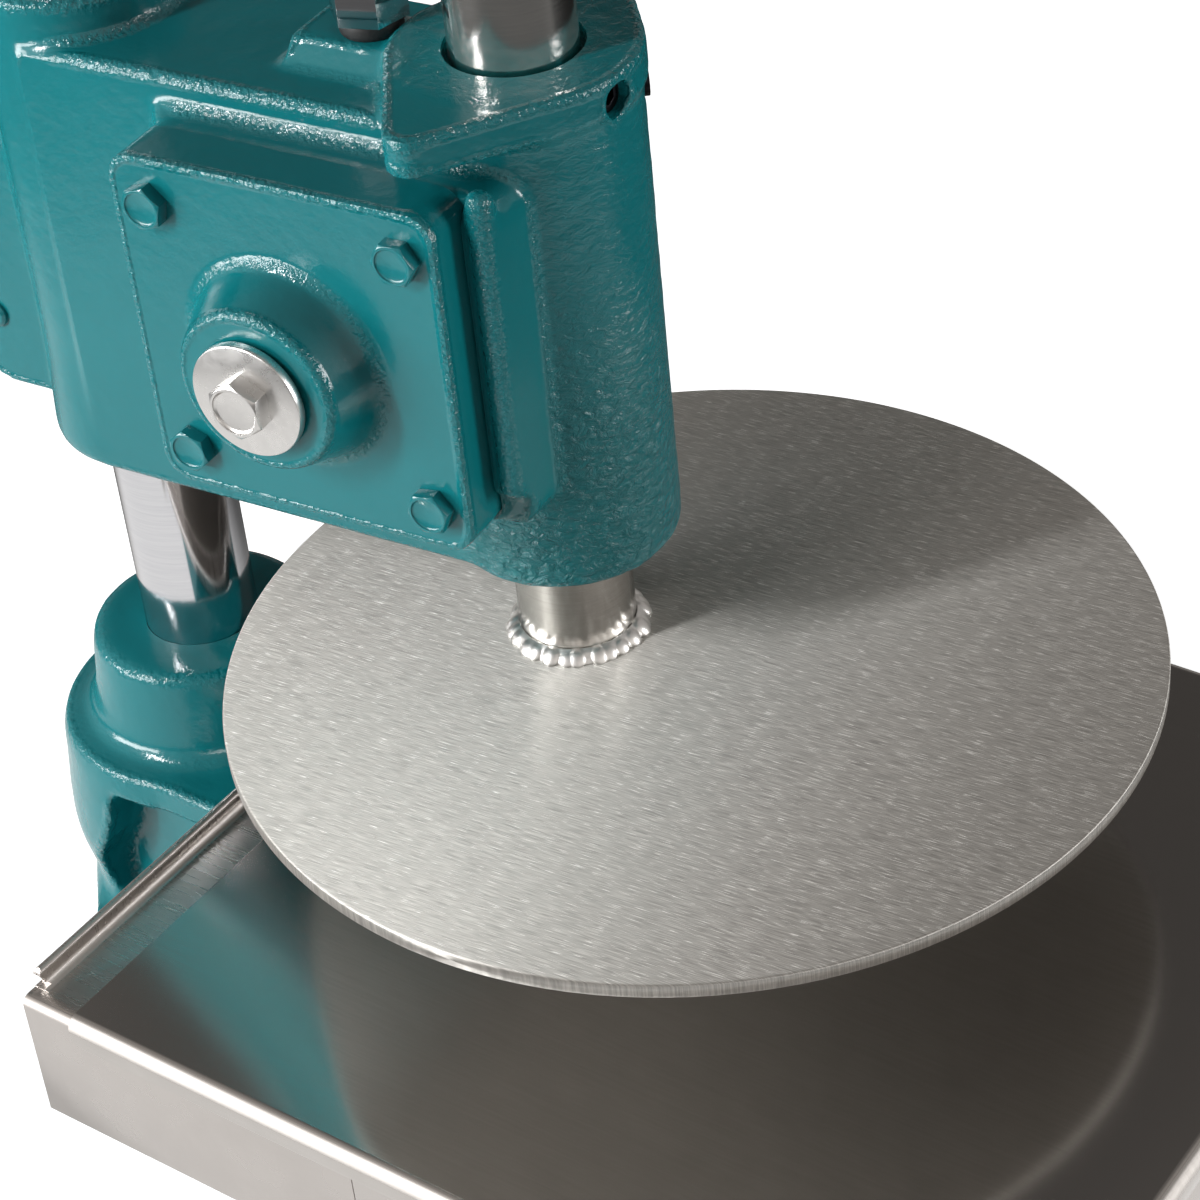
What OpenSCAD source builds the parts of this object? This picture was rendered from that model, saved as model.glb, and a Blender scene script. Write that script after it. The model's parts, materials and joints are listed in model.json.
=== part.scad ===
// Hand dough press: a lever turns a pinion, and the pinion drives a toothed ram and its round plate
// down over a steel work tray. Millimetres, +X to the front, +Z up.
// The origin is on the table, midway between the back of the pedestal and the front of the tray.

/* [Press plate and ram] */
// Diameter of the press plate
plate_d = 240; // [180:1:250]
// Thickness of the press plate
plate_t = 4.1; // [3:0.1:6]
// Distance from the ram axis to the plate centre, towards the front
plate_offset = 32.9; // [25:0.1:40]
// Diameter of the ram
ram_d = 30.4; // [27:0.2:32]
// Length of the ram above the plate
ram_l = 222; // [214:1:250]
// Gap between the press plate and the work sheet
press_gap = 48.3; // [40:0.1:60]
// Gap between the press plate and the head above it
head_gap = 33; // [26:0.5:44]
// Height of the weld bead round the foot of the ram
weld_h = 4; // [2:0.1:5]
// Width of the weld bead on the plate
weld_w = 4.2; // [2.5:0.1:6]

/* [Base casting] */
// Height of each rubber foot
foot_h = 8; // [6:0.5:12]
// Diameter of each rubber foot
foot_d = 28; // [20:1:30]
// Height of the bed above the rubber feet
base_h = 71.2; // [64:0.2:84]
// Radius of the pedestal under the column
pedestal_r = 46; // [43:0.5:48]
// Width between the straight flanks of the pedestal
flank_w = 86; // [82:0.5:90]
// Thickness of the bed plate
bed_t = 9.7; // [7:0.1:12]
// Thickness of the frame at the bottom of the casting
frame_t = 12; // [9:0.5:16]
// Thickness of the walls and webs of the casting
wall_t = 8; // [6:0.5:10]
// Width over the two webs under the bed
web_w = 66; // [60:0.5:70]
// Distance that the bed stops short of the tray's front and sides
bed_inset = 38; // [30:1:44]
// Height of the machined pads that carry the tray
pad_rise = 6.2; // [4:0.2:9]
// Radius of the machined pads
pad_r = 11; // [9:0.5:13]
// Height of the column socket above the bed
socket_h = 27.5; // [22:0.5:36]
// Radius of the column socket at its top
socket_r = 31.2; // [29:0.2:33]
// Thickness of metal under the column
socket_floor_t = 14; // [8:0.5:24]

/* [Tray] */
// Distance from the column axis to the rear edge of the tray
tray_x = 45.1; // [44:0.1:50]
// Length of the tray
tray_l = 278; // [270:1:300]
// Width of the tray
tray_w = 258.6; // [250:0.2:280]
// Thickness of the tray's sheet metal
tray_t = 1.2; // [0.8:0.1:2]
// Depth of the skirts of the tray below its top
skirt_h = 39.6; // [30:0.2:46]
// Outer radius of the bends
bend_r = 2.6; // [2.2:0.1:4]
// Height of the rear upstand above the work sheet
upstand_h = 4.8; // [3:0.1:8]
// Thickness of the work sheet
sheet_t = 1; // [0.6:0.1:1.5]
// Distance from the rear edge of the tray to the rear edge of the work sheet
sheet_setback = 16.5; // [12:0.5:24]
// Depth of the short flanges at the sides of the work sheet
sheet_flange_h = 8; // [5:0.5:12]

/* [Column] */
// Diameter of the column
column_d = 31.8; // [28:0.2:34]
// Height of the column above the head
column_over = 66; // [64:1:110]

/* [Head casting] */
// Angle that the head is swung about the column
head_swing = 5.66; // [-30:0.01:30]
// Distance between the column axis and the ram axis
arm_reach = 125.7; // [124:0.1:132]
// Height of the arm
head_h = 125; // [120:0.5:135]
// Width of the arm
arm_w = 55; // [52:0.5:57]
// Diameter of the boss round the ram
ram_boss_d = 58; // [56:0.5:62]
// Distance that the boss round the ram reaches below the arm
boss_drop = 1.5; // [0:0.1:4]
// Diameter of the boss round the column
column_boss_d = 52.8; // [50:0.2:58]
// Height of the column boss above the arm
column_boss_over = 11; // [8:0.5:20]
// Height of the top pad above the arm
pad_over = 9.5; // [8:0.5:12]
// Thickness of the top pad
top_pad_t = 10; // [9:0.5:12]
// Distance of the pad's two tips from the middle
pad_tip_y = 43; // [40:0.5:46]
// Radius of the pad's two tips
pad_tip_r = 6; // [5:0.5:8]
// Height of the raised seat of the oil plug above the arm
plug_seat_h = 6.3; // [4:0.1:8]
// Height of the shaft above the underside of the head
shaft_rise = 70; // [66:0.5:74]
// Reach of the clamp ears behind the column axis
ear_reach = 51; // [48:0.5:56]
// Distance from the underside of the head up to the clamp ears
ear_rise = 7; // [4:0.5:12]
// Height of the clamp ears
ear_h = 76; // [68:1:90]
// Width over the two clamp ears
ear_w = 21; // [19:0.5:26]
// Width of the clamp slit
slit_w = 3; // [2:0.2:5]

/* [Gear cover] */
// Width of the cover
cover_w = 89; // [87:0.5:91]
// Height of the cover
cover_h = 92; // [86:0.5:94]
// Thickness of the cover
cover_t = 14.5; // [11:0.5:16]
// Distance from the middle of the arm to the joint of the cover
joint_y = 37.5; // [36:0.5:42]
// Spacing of the cover bolts along the arm
cover_bolt_dx = 68.5; // [67:0.5:71]
// Spacing of the cover bolts upwards
cover_bolt_dz = 68.2; // [66:0.2:72]
// Length of the shaft boss on the cover
cover_boss_l = 14.3; // [11:0.1:20]
// Radius of the shaft boss at the cover
cover_boss_r = 25; // [24:0.5:26]
// Radius of the shaft boss at its face
cover_boss_face_r = 20.3; // [19:0.1:22]

/* [Rack and pinion] */
// Size of the teeth: the pitch diameter divided by the number of teeth
gear_module = 2.5;
// Number of teeth on the pinion
pinion_teeth = 22;
// Pressure angle of the teeth
pressure_angle = 20;
// Play between the teeth
backlash = 0.3; // [0.2:0.05:0.5]
// Distance from the ram axis to the pitch line of the rack
rack_line = 11.1; // [10.6:0.1:11.4]
// Width of the pinion
pinion_w = 24; // [20:0.5:26]
// Diameter of the pinion shaft
shaft_d = 20; // [16:0.5:22]
// Wall of each bronze bush
bush_wall = 3; // [2:0.25:4]
// Width and height of the key
key_s = 6; // [5:0.25:7]

/* [Lever] */
// Length from the shaft to the middle of the knob
lever_l = 300; // [240:5:360]
// Diameter of the lever bar
bar_d = 16; // [14:0.5:18]
// Width of the lever hub
hub_w = 32; // [28:0.5:40]
// Radius of the lever hub
hub_r = 19; // [17:0.5:22]
// Diameter of the knob
knob_d = 38; // [32:1:44]

/* [Fasteners] */
// Across flats of the cover bolts
cover_bolt_af = 10; // [9:0.5:11]
// Across flats of the end bolt
end_bolt_af = 13; // [12:0.5:15]
// Across flats of the oil plug
plug_af = 17; // [15:0.5:18]
// Diameter of the end washer
end_washer_d = 29.6; // [26:0.2:34]
// Thickness of the end washer
end_washer_t = 2.6; // [1.5:0.1:3]
// Across flats of the clamp nuts
clamp_af = 13; // [12:0.5:14]
// Spacing of the two clamp bolts
clamp_bolt_dz = 32; // [28:0.5:46]
// Diameter of the set screws
set_screw_d = 8; // [7:0.5:9]

/* [Hidden] */
$fn = 72;
// One overrun for every cut
over = 1;
// Running clearance on the radius of shafts and slides
run_fit = 0.05;
// Gap between faces that turn past each other
face_gap = 0.3;
// Radial clearance of screws in their threads
thread_gap = 0.05;
// Radial clearance of bolts in their holes
hole_gap = 0.3;
edge_r = 3;
root_share = 1.25;
hull_fn = 48;

// Heights, from the table up
bed_z = foot_h + base_h;
tray_z = bed_z + pad_rise;
tray_top = tray_z + tray_t;
work_z = tray_top + sheet_t;
upstand_top = work_z + upstand_h;
plate_z = work_z + press_gap;
ram_z = plate_z + plate_t;
head_z = ram_z + head_gap;
arm_top = head_z + head_h;
pad_top = arm_top + pad_over;
column_boss_top = arm_top + column_boss_over;
column_z = foot_h + socket_floor_t;
column_top = column_boss_top + column_over;
shaft_z = head_z + shaft_rise;

// Plan of the base
mid_x = (tray_x + tray_l - pedestal_r) / 2;
bed_x = tray_x + wall_t;
bed_front = tray_x + tray_l - bed_inset;
bed_w = tray_w - 2 * bed_inset;
bed_corner_r = 12;
flange_r = foot_d / 2 + 2 * over;
rear_foot = [foot_d / 2 - over, pedestal_r + foot_d / 2 - over];
front_foot = [bed_front - flange_r - over, bed_w / 2 - flange_r - over];
screw_inset = 20;
tray_screw_x = [bed_x + screw_inset, bed_front - screw_inset];
tray_screw_y = bed_w / 2 - screw_inset;
foot_screw_r = 3;
foot_screw_l = 16;
foot_recess_r = 8;
foot_recess_h = 4;
sink_r = 5.6;
sink_h = 3;
tray_screw_r = 3;
tray_screw_l = 14;
hem_t = 2 * tray_t;
sheet_slack = 0.15;

// Outline of the pedestal: radius as a share of pedestal_r, height as a share of base_h
pedestal_share = [[0.99, 0], [1.005, 0.02], [0.985, 0.13], [0.952, 0.22], [0.955, 0.27],
    [0.993, 0.36], [1.025, 0.46], [1.034, 0.53], [1.02, 0.66], [1, 0.79], [0.984, 0.9],
    [0.974, 0.955], [0.957, 0.985], [0.93, 1]];
// Outline of the column socket: shares of socket_r and socket_h
socket_share = [[1.24, 0], [1.17, 0.03], [1.13, 0.09], [1.1, 0.19], [1.015, 0.86], [1, 0.93],
    [0.97, 0.98], [0.93, 1]];
// Rear end of the pocket in the flank: shares of pedestal_r and base_h
pocket_share = [[-0.09, 0.862], [-0.1, 0.74], [-0.18, 0.6], [-0.31, 0.46], [-0.34, 0.36],
    [-0.31, 0.26], [-0.2, 0.17]];
// Outline of the column boss: shares of its radius and its height
column_boss_share = [[0.92, 0], [0.985, 0.004], [1.03, 0.014], [1.052, 0.03], [1.054, 0.046], [1.034, 0.11],
    [1.008, 0.2], [1, 0.26], [1, 0.975], [0.975, 0.994], [0.94, 1]];

// Places on the head, from the column axis
ram_r = ram_d / 2;
column_r = column_d / 2;
pitch_r = gear_module * pinion_teeth / 2;
tip_r = pitch_r + gear_module;
root_r = pitch_r - root_share * gear_module;
base_circle_r = pitch_r * cos(pressure_angle);
tooth_pitch = PI * gear_module;
shaft_x = arm_reach - rack_line - pitch_r;
shaft_r = shaft_d / 2;
bush_r = shaft_r + bush_wall;
cavity_r = tip_r + 1.5 * over;
cavity_far = pinion_w / 2 + face_gap;
cover_face = joint_y + cover_t;
boss_face = cover_face + cover_boss_l;
bush_l = 25;
far_face = cavity_far + 2 * over + bush_l;
far_boss_r = 25;
shoulder_gap = 1;
// The shaft stands this far out of the cover's boss, so that the washer never rubs
shaft_proud = 0.9;
shaft_near = boss_face + shaft_proud;
hub_y = far_face + face_gap;
shaft_far = hub_y + hub_w;
cover_off = [1.1, 2];
cover_bolt_off = [1.7, 2.1];
cover_corner_r = 7;
housing_side = 8.5;
housing_left = 1.7;
cove_r = 3.5;
bead_r = 3.6;
flank_steps = 4;
backlash_angle = backlash / 2 / pitch_r * 180 / PI;

// Travel of the ram from the rest height
lift_stop = 3.5;
plate_stop = 1;
ram_down = press_gap - upstand_h - plate_stop;
ram_up = head_gap - boss_drop - weld_h - lift_stop;
spaces_spare = 1;
spaces_below = ceil(ram_up / tooth_pitch) + spaces_spare;
spaces_above = ceil(ram_down / tooth_pitch) + spaces_spare;

cover_bolt_r = 3;
cover_bolt_l = 20;
cover_bolt_head = 3.6;
washer_face = shaft_near + end_washer_t;
end_bolt_r = 4;
end_bolt_head = 5;
end_bolt_l = 20;
clamp_r = 4;
clamp_nut_h = 6.5;
clamp_tail = 3;
clamp_end = 1.5;
clamp_x = -(ear_reach - clamp_af / 2 - edge_r);
clamp_z = head_z + ear_rise + ear_h / 2;
ear_corner_r = 12;
plug_r = 5;
plug_head = 9;
plug_seal_t = 4;
plug_seal_r = 7.8;
plug_shank = 22;
plug_seat_half = 8.6;
plug_seat_flare = 5.9;
plug_seat_rear = 17.5;
plug_turn = -16;
pad_tip_back = 2;
pad_collar = 1.3;
bore_relief_r = 1.5;
bore_relief_h = 6;
guide_screws = [[-8.5, 3, -2.6], [35, 9.5, 0.9]];
socket_hex_r = 2.3;
socket_hex_h = 4;
column_screw_angles = [140, 220];
column_screw_z = bed_z + socket_h / 2;
key_l = 20;
hub_pin_r = 3;
neck_r = 13;
neck_h = 37;
bar_seat = shaft_r + bar_d / 2 + over;
knob_flat = 15;
knob_stud_r = 5;
knob_stud_l = 16;
chamfer = 1;

enamel = [0.16, 0.47, 0.48];
stainless = [0.72, 0.72, 0.7];
chrome = [0.85, 0.86, 0.88];
zinc = [0.82, 0.82, 0.8];
bronze = [0.72, 0.5, 0.26];
rubber = [0.1, 0.1, 0.11];

// The table point that everything is placed from: sizes in X run from the column's axis
module on_base() {
    translate([-mid_x, 0, 0]) children();
}

// A flat rectangle with true round corners, from a corner at the origin
module round_rect(l, w, r) {
    translate([r, 0]) square([l - 2 * r, w]);
    translate([0, r]) square([l, w - 2 * r]);
    for (x = [r, l - r], y = [r, w - r]) translate([x, y]) circle(r);
}

// An outline in X and Z, drawn out along Y
module along_y(y0, y1) {
    translate([0, y1, 0]) rotate([90, 0, 0]) linear_extrude(y1 - y0) children();
}

// An outline in Y and Z, drawn out along X
module along_x(x0, x1) {
    translate([x0, 0, 0]) rotate([90, 0, 90]) linear_extrude(x1 - x0) children();
}

// A round bar on the shaft's line, from near (towards -Y) to far (towards +Y)
module on_shaft(r, near, far) {
    translate([shaft_x, far, shaft_z]) rotate([90, 0, 0]) cylinder(r = r, h = near + far);
}

// The head and all it carries, swung about the column
module on_head() {
    on_base() rotate([0, 0, head_swing]) children();
}

// A hexagon head lying on z = 0, its rim turned off at an angle
module hex_head(af, h) {
    r = af / 2 / cos(30);
    intersection() {
        cylinder(r = r, h = h, $fn = 6);
        union() {
            cylinder(r = r, h = h - chamfer);
            translate([0, 0, h - chamfer]) cylinder(r1 = r, r2 = r - 2 * chamfer, h = chamfer);
        }
    }
}

// A concave corner strip of radius r between two walls, filling x and y above zero
module cove(r) {
    difference() {
        square(r);
        translate([r, r]) circle(r);
    }
}

module at_feet() {
    for (s = [-1, 1]) {
        translate([rear_foot[0], s * rear_foot[1], 0]) children();
        translate([front_foot[0], s * front_foot[1], 0]) children();
    }
}

module at_tray_screws() {
    for (x = tray_screw_x, s = [-1, 1]) translate([x, s * tray_screw_y, 0]) children();
}

// A flat-head screw whose head ends at z = 0; grow widens it into the cut for it
module flat_screw(grow) {
    translate([0, 0, -sink_h]) cylinder(r1 = tray_screw_r + grow, r2 = sink_r + grow, h = sink_h);
    translate([0, 0, -tray_screw_l]) cylinder(r = tray_screw_r + grow, h = tray_screw_l - sink_h);
}

module base_casting() {
    wall_half = rear_foot[1] + foot_d / 2;
    color(enamel) on_base() difference() {
        union() {
            difference() {
                union() {
                    translate([0, 0, foot_h]) rotate_extrude()
                        polygon(concat([[0, 0]], [for (p = pedestal_share) [pedestal_r * p[0], base_h * p[1]]],
                            [[0, base_h]]));
                    translate([0, -flank_w / 2, foot_h]) cube([bed_x + wall_t, flank_w, base_h]);
                }
                for (s = [-1, 1])
                    along_y(s > 0 ? web_w / 2 : -pedestal_r - edge_r * 2, s > 0 ? pedestal_r + edge_r * 2 : -web_w / 2)
                        polygon(concat([for (p = pocket_share) [pedestal_r * p[0], foot_h + base_h * p[1]]],
                            [[bed_x, foot_h + frame_t], [bed_x, bed_z - bed_t]]));
            }
            translate([0, 0, bed_z]) rotate_extrude()
                polygon(concat([[0, 0]], [for (p = socket_share) [socket_r * p[0], socket_h * p[1]]], [[0, socket_h]]));
            translate([bed_x, -bed_w / 2, bed_z - bed_t]) linear_extrude(bed_t)
                round_rect(bed_front - bed_x, bed_w, bed_corner_r);
            translate([0, 0, foot_h]) linear_extrude(frame_t) base_outline();
            for (s = [-1, 1]) translate([0, s * (web_w - wall_t) / 2 - wall_t / 2, foot_h])
                cube([bed_front - wall_t, wall_t, base_h - over]);
            for (x = [bed_x, bed_front - 2 * wall_t]) translate([x, -wall_half, foot_h])
                cube([wall_t, 2 * wall_half, base_h - over]);
            for (s = [-1, 1]) translate([front_foot[0], s * front_foot[1], foot_h])
                cylinder(r = foot_screw_r + wall_t, h = base_h - over);
            at_tray_screws() translate([0, 0, bed_z - bed_t]) cylinder(r = pad_r, h = bed_t + pad_rise);
        }
        translate([0, 0, column_z]) cylinder(r = column_r + run_fit, h = base_h + socket_h);
        translate([bed_x + wall_t, -web_w / 2 + wall_t, foot_h - over])
            cube([bed_front - bed_x - 3 * wall_t, web_w - 2 * wall_t, base_h - bed_t + over]);
        at_tray_screws() translate([0, 0, tray_top]) flat_screw(thread_gap);
        at_feet() translate([0, 0, foot_h - over])
            cylinder(r = foot_screw_r + thread_gap, h = foot_screw_l - foot_h + foot_recess_h + 2 * over);
        for (a = column_screw_angles) rotate([0, 0, a]) translate([column_r / 2, 0, column_screw_z])
            rotate([0, 90, 0]) cylinder(r = set_screw_d / 2 + thread_gap, h = socket_r);
    }
}

// Plan of the frame that joins the four feet, with its two side windows
module base_outline() {
    window_y = web_w / 2 + wall_t;
    window_w = front_foot[1] - foot_d / 2 - window_y + edge_r;
    difference() {
        hull() {
            circle(pedestal_r, $fn = hull_fn);
            for (s = [-1, 1]) {
                translate([rear_foot[0], s * rear_foot[1]]) circle(flange_r, $fn = hull_fn);
                translate([front_foot[0], s * front_foot[1]]) circle(flange_r, $fn = hull_fn);
            }
        }
        for (s = [0, 1]) mirror([0, s, 0]) translate([bed_x + 2 * wall_t, window_y])
            round_rect(front_foot[0] - foot_d - bed_x - wall_t, window_w, edge_r);
    }
}

module rubber_feet() {
    color(rubber) on_base() at_feet() difference() {
        cylinder(r1 = foot_d / 2 - chamfer, r2 = foot_d / 2, h = foot_h);
        translate([0, 0, -over]) cylinder(r = foot_recess_r, h = foot_recess_h + over);
        cylinder(r = foot_screw_r + thread_gap, h = foot_h + over);
    }
}

module foot_screws() {
    head_r = foot_recess_r - over;
    head_t = foot_recess_h - over;
    color(zinc) on_base() at_feet() {
        translate([0, 0, foot_recess_h - head_t]) cylinder(r1 = head_r - chamfer, r2 = head_r, h = head_t);
        translate([0, 0, foot_recess_h]) cylinder(r = foot_screw_r, h = foot_screw_l - foot_recess_h);
    }
}

// A folded pan without its rear wall: top corners bent at the radius r, open below
module pan(x0, x1, w, top, h, r) {
    intersection() {
        along_x(x0, x1) {
            translate([-w / 2, top - h]) square([w, h - r]);
            translate([-w / 2 + r, top - h]) square([w - 2 * r, h]);
            for (s = [-1, 1]) translate([s * (w / 2 - r), top - r]) circle(r);
        }
        along_y(-w, w) {
            translate([x0, top - h]) square([x1 - x0, h - r]);
            translate([x0, top - h]) square([x1 - x0 - r, h]);
            translate([x1 - r, top - r]) circle(r);
        }
    }
}

module tray() {
    front = tray_x + tray_l;
    color(stainless) on_base() difference() {
        union() {
            difference() {
                pan(tray_x, front, tray_w, tray_top, skirt_h, bend_r);
                pan(tray_x - over, front - tray_t, tray_w - 2 * tray_t, tray_z, skirt_h, bend_r - tray_t);
            }
            along_y(-tray_w / 2 + 2 * bend_r, tray_w / 2 - 2 * bend_r) {
                translate([tray_x, tray_z]) square([hem_t, upstand_top - tray_z - hem_t / 2]);
                translate([tray_x + hem_t / 2, upstand_top - hem_t / 2]) circle(hem_t / 2);
                translate([tray_x + hem_t, tray_top]) cove(bend_r);
            }
        }
        at_tray_screws() translate([0, 0, tray_top]) flat_screw(thread_gap);
    }
}

module tray_screws() {
    color(zinc) on_base() at_tray_screws() translate([0, 0, tray_top]) flat_screw(0);
}

module work_sheet() {
    x0 = tray_x + sheet_setback;
    front = tray_x + tray_l + sheet_slack;
    w = tray_w + 2 * sheet_slack;
    h = sheet_flange_h;
    color(stainless) on_base() difference() {
        pan(x0, front + sheet_t, w + 2 * sheet_t, work_z, h, bend_r + sheet_slack + sheet_t);
        pan(x0 - over, front, w, tray_top, h, bend_r + sheet_slack);
        along_y(-tray_w, tray_w) translate([x0 - over, work_z - h - over]) difference() {
            square(h / 2 + over);
            translate([h / 2 + over, h / 2 + over]) circle(h / 2);
        }
    }
}

module column_set_screws() {
    reach = socket_r - column_r + edge_r;
    color([0.2, 0.2, 0.22]) on_base() for (a = column_screw_angles) rotate([0, 0, a])
        translate([column_r + 2 * run_fit, 0, column_screw_z]) rotate([0, 90, 0]) set_screw(reach);
}

// A headless screw along +Z with a hexagon socket in its outer end
module set_screw(l) {
    difference() {
        cylinder(r = set_screw_d / 2, h = l);
        translate([0, 0, l - socket_hex_h]) cylinder(r = socket_hex_r, h = socket_hex_h + over, $fn = 6);
    }
}

module column() {
    color(chrome) on_base() translate([0, 0, column_z]) {
        cylinder(r = column_r, h = column_top - column_z - chamfer);
        translate([0, 0, column_top - column_z - chamfer])
            cylinder(r1 = column_r, r2 = column_r - chamfer, h = chamfer);
    }
}

// The block on the near side of the arm that the gear cover is bolted to
module gear_housing() {
    x0 = shaft_x + cover_off[0] - cover_w / 2 - housing_left;
    x1 = shaft_x + cover_off[0] + cover_w / 2 + housing_side;
    z0 = shaft_z + cover_off[1] - cover_h / 2;
    z1 = shaft_z + cover_off[1] + cover_h / 2 - housing_left;
    side = arm_w / 2;
    along_y(-joint_y, 0) translate([x0, z0]) round_rect(x1 - x0, z1 - z0, cover_corner_r);
    along_x(x0, arm_reach) translate([-side + over / 10, z1 - over / 10]) mirror([1, 0]) cove(cove_r);
    translate([x0 + over / 10, -side + over / 10, z0 + cove_r]) mirror([1, 0, 0]) mirror([0, 1, 0])
        linear_extrude(z1 - z0 - cove_r) cove(cove_r);
    translate([x1 - bead_r, -joint_y - bead_r / 2, z0 + 2 * cover_corner_r]) {
        cylinder(r = bead_r, h = z1 - z0 - 2 * cover_corner_r);
        for (z = [0, z1 - z0 - 2 * cover_corner_r]) translate([0, 0, z]) sphere(bead_r);
    }
}

module clamp_ears() {
    along_y(-ear_w / 2, ear_w / 2) translate([-ear_reach, head_z + ear_rise]) round_rect(ear_reach, ear_h, ear_corner_r);
}

module head_casting() {
    boss_r = ram_boss_d / 2;
    seat_foot = plug_seat_half + plug_seat_flare;
    color(enamel) on_head() difference() {
        union() {
            along_x(0, arm_reach) translate([-arm_w / 2, head_z]) round_rect(arm_w, head_h, edge_r);
            // Boss round the ram, and the pad over it with its two tips
            translate([arm_reach, 0, head_z - boss_drop]) rotate_extrude() polygon([[0, 0], [boss_r - edge_r, 0],
                [boss_r - edge_r / 3, edge_r / 3], [boss_r, edge_r], [boss_r, head_h], [0, head_h]]);
            translate([arm_reach, 0, pad_top - top_pad_t]) linear_extrude(top_pad_t) hull() {
                circle(boss_r + pad_collar, $fn = hull_fn);
                for (s = [-1, 1]) translate([-pad_tip_back, s * pad_tip_y]) circle(pad_tip_r, $fn = hull_fn);
            }
            // Raised seat of the oil plug, its flanks spread out towards the arm
            along_x(shaft_x - plug_seat_rear, arm_reach) translate([0, arm_top]) polygon([
                [-seat_foot, -over], [-seat_foot, 0], [-plug_seat_half, plug_seat_h],
                [plug_seat_half, plug_seat_h], [seat_foot, 0], [seat_foot, -over]]);
            // Boss round the column
            translate([0, 0, head_z]) rotate_extrude() polygon(concat([[0, 0]],
                [for (p = column_boss_share) [column_boss_d / 2 * p[0], (head_h + column_boss_over) * p[1]]],
                [[0, head_h + column_boss_over]]));
            gear_housing();
            clamp_ears();
            on_shaft(far_boss_r, 0, far_face);
        }
        translate([0, 0, head_z - over]) cylinder(r = column_r + run_fit, h = head_h + column_boss_over + 2 * over);
        translate([arm_reach, 0, head_z - boss_drop - over])
            cylinder(r = ram_r + run_fit, h = head_h + boss_drop + pad_over + 2 * over);
        translate([arm_reach, 0, pad_top - bore_relief_h])
            cylinder(r = ram_r + bore_relief_r, h = bore_relief_h + over);
        // Gear cavity, and the far shaft bore with the seat of its bush
        on_shaft(cavity_r, joint_y + over, cavity_far);
        on_shaft(shaft_r + shoulder_gap, 0, far_face + over);
        on_shaft(bush_r, -(far_face - bush_l), far_face + over);
        at_cover_bolts(joint_y - cover_bolt_l + cover_t - over) cylinder(r = cover_bolt_r + thread_gap, h = cover_bolt_l);
        // Clamp slit and the holes of its bolts
        translate([-ear_reach - over, -slit_w / 2, head_z - over])
            cube([ear_reach, slit_w, head_h + column_boss_over + 2 * over]);
        at_clamp_bolts() {
            cylinder(r = clamp_r + thread_gap, h = ear_w);
            translate([0, 0, -ear_w]) cylinder(r = clamp_r + hole_gap, h = ear_w);
        }
        translate([shaft_x, 0, shaft_z]) cylinder(r = plug_r + thread_gap, h = arm_top - shaft_z + plug_seat_h + over);
        for (g = guide_screws) at_guide_screw(g) cylinder(r = set_screw_d / 2 + thread_gap, h = 2 * boss_r);
    }
}

// The four cover bolt places; +Z of each points to the near side, from the depth y on
module at_cover_bolts(y) {
    for (i = [-1, 1], k = [-1, 1])
        translate([shaft_x + cover_bolt_off[0] + i * cover_bolt_dx / 2, -y,
            shaft_z + cover_bolt_off[1] + k * cover_bolt_dz / 2]) rotate([90, 0, 0]) children();
}

// The two clamp bolt places; +Z of each points to the near side
module at_clamp_bolts() {
    for (k = [-1, 1]) translate([clamp_x, 0, clamp_z + k * clamp_bolt_dz / 2]) rotate([90, 0, 0]) children();
}

// One guide screw of the ram: its angle, its depth below the pad's top; +Z points outwards
module at_guide_screw(g) {
    translate([arm_reach, 0, pad_top - set_screw_d / 2 - g[1]]) rotate([0, 0, g[0]]) rotate([0, 90, 0]) children();
}

module gear_cover() {
    boss_fillet = cover_boss_r + edge_r;
    x0 = shaft_x + cover_off[0] - cover_w / 2;
    z0 = shaft_z + cover_off[1] - cover_h / 2;
    color(enamel) on_head() difference() {
        union() {
            along_y(-cover_face, -joint_y) translate([x0, z0]) round_rect(cover_w, cover_h, cover_corner_r);
            translate([shaft_x, -cover_face + over, shaft_z]) rotate([90, 0, 0]) rotate_extrude()
                polygon([[0, 0], [boss_fillet, 0], [boss_fillet, over], [cover_boss_r + edge_r / 3, over + edge_r / 3],
                    [cover_boss_r, over + edge_r], [cover_boss_face_r + edge_r / 3, over + cover_boss_l - edge_r / 3],
                    [cover_boss_face_r, over + cover_boss_l], [0, over + cover_boss_l]]);
            on_shaft(cavity_r - face_gap, joint_y + over, -cavity_far);
        }
        on_shaft(shaft_r + shoulder_gap, boss_face + over, over);
        on_shaft(bush_r, boss_face + over, -joint_y);
        translate([arm_reach, 0, shaft_z - cavity_r]) cylinder(r = ram_r + shoulder_gap, h = 2 * cavity_r);
        at_cover_bolts(joint_y - over) cylinder(r = cover_bolt_r + hole_gap, h = cover_t + 2 * over);
    }
}

module cover_bolts() {
    dish_r = cover_bolt_af / 2 - chamfer;
    color(enamel) on_head() at_cover_bolts(cover_face) {
        difference() {
            hex_head(cover_bolt_af, cover_bolt_head);
            translate([0, 0, cover_bolt_head - chamfer / 2]) cylinder(r = dish_r, h = chamfer);
        }
        translate([0, 0, -cover_bolt_l]) cylinder(r = cover_bolt_r, h = cover_bolt_l);
    }
}

module bush(near, far) {
    color(bronze) on_head() difference() {
        on_shaft(bush_r, near, far);
        on_shaft(shaft_r + run_fit, near + over, far + over);
    }
}

module cover_bush() {
    bush(boss_face, -joint_y);
}

module housing_bush() {
    bush(-(far_face - bush_l), far_face);
}

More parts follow.
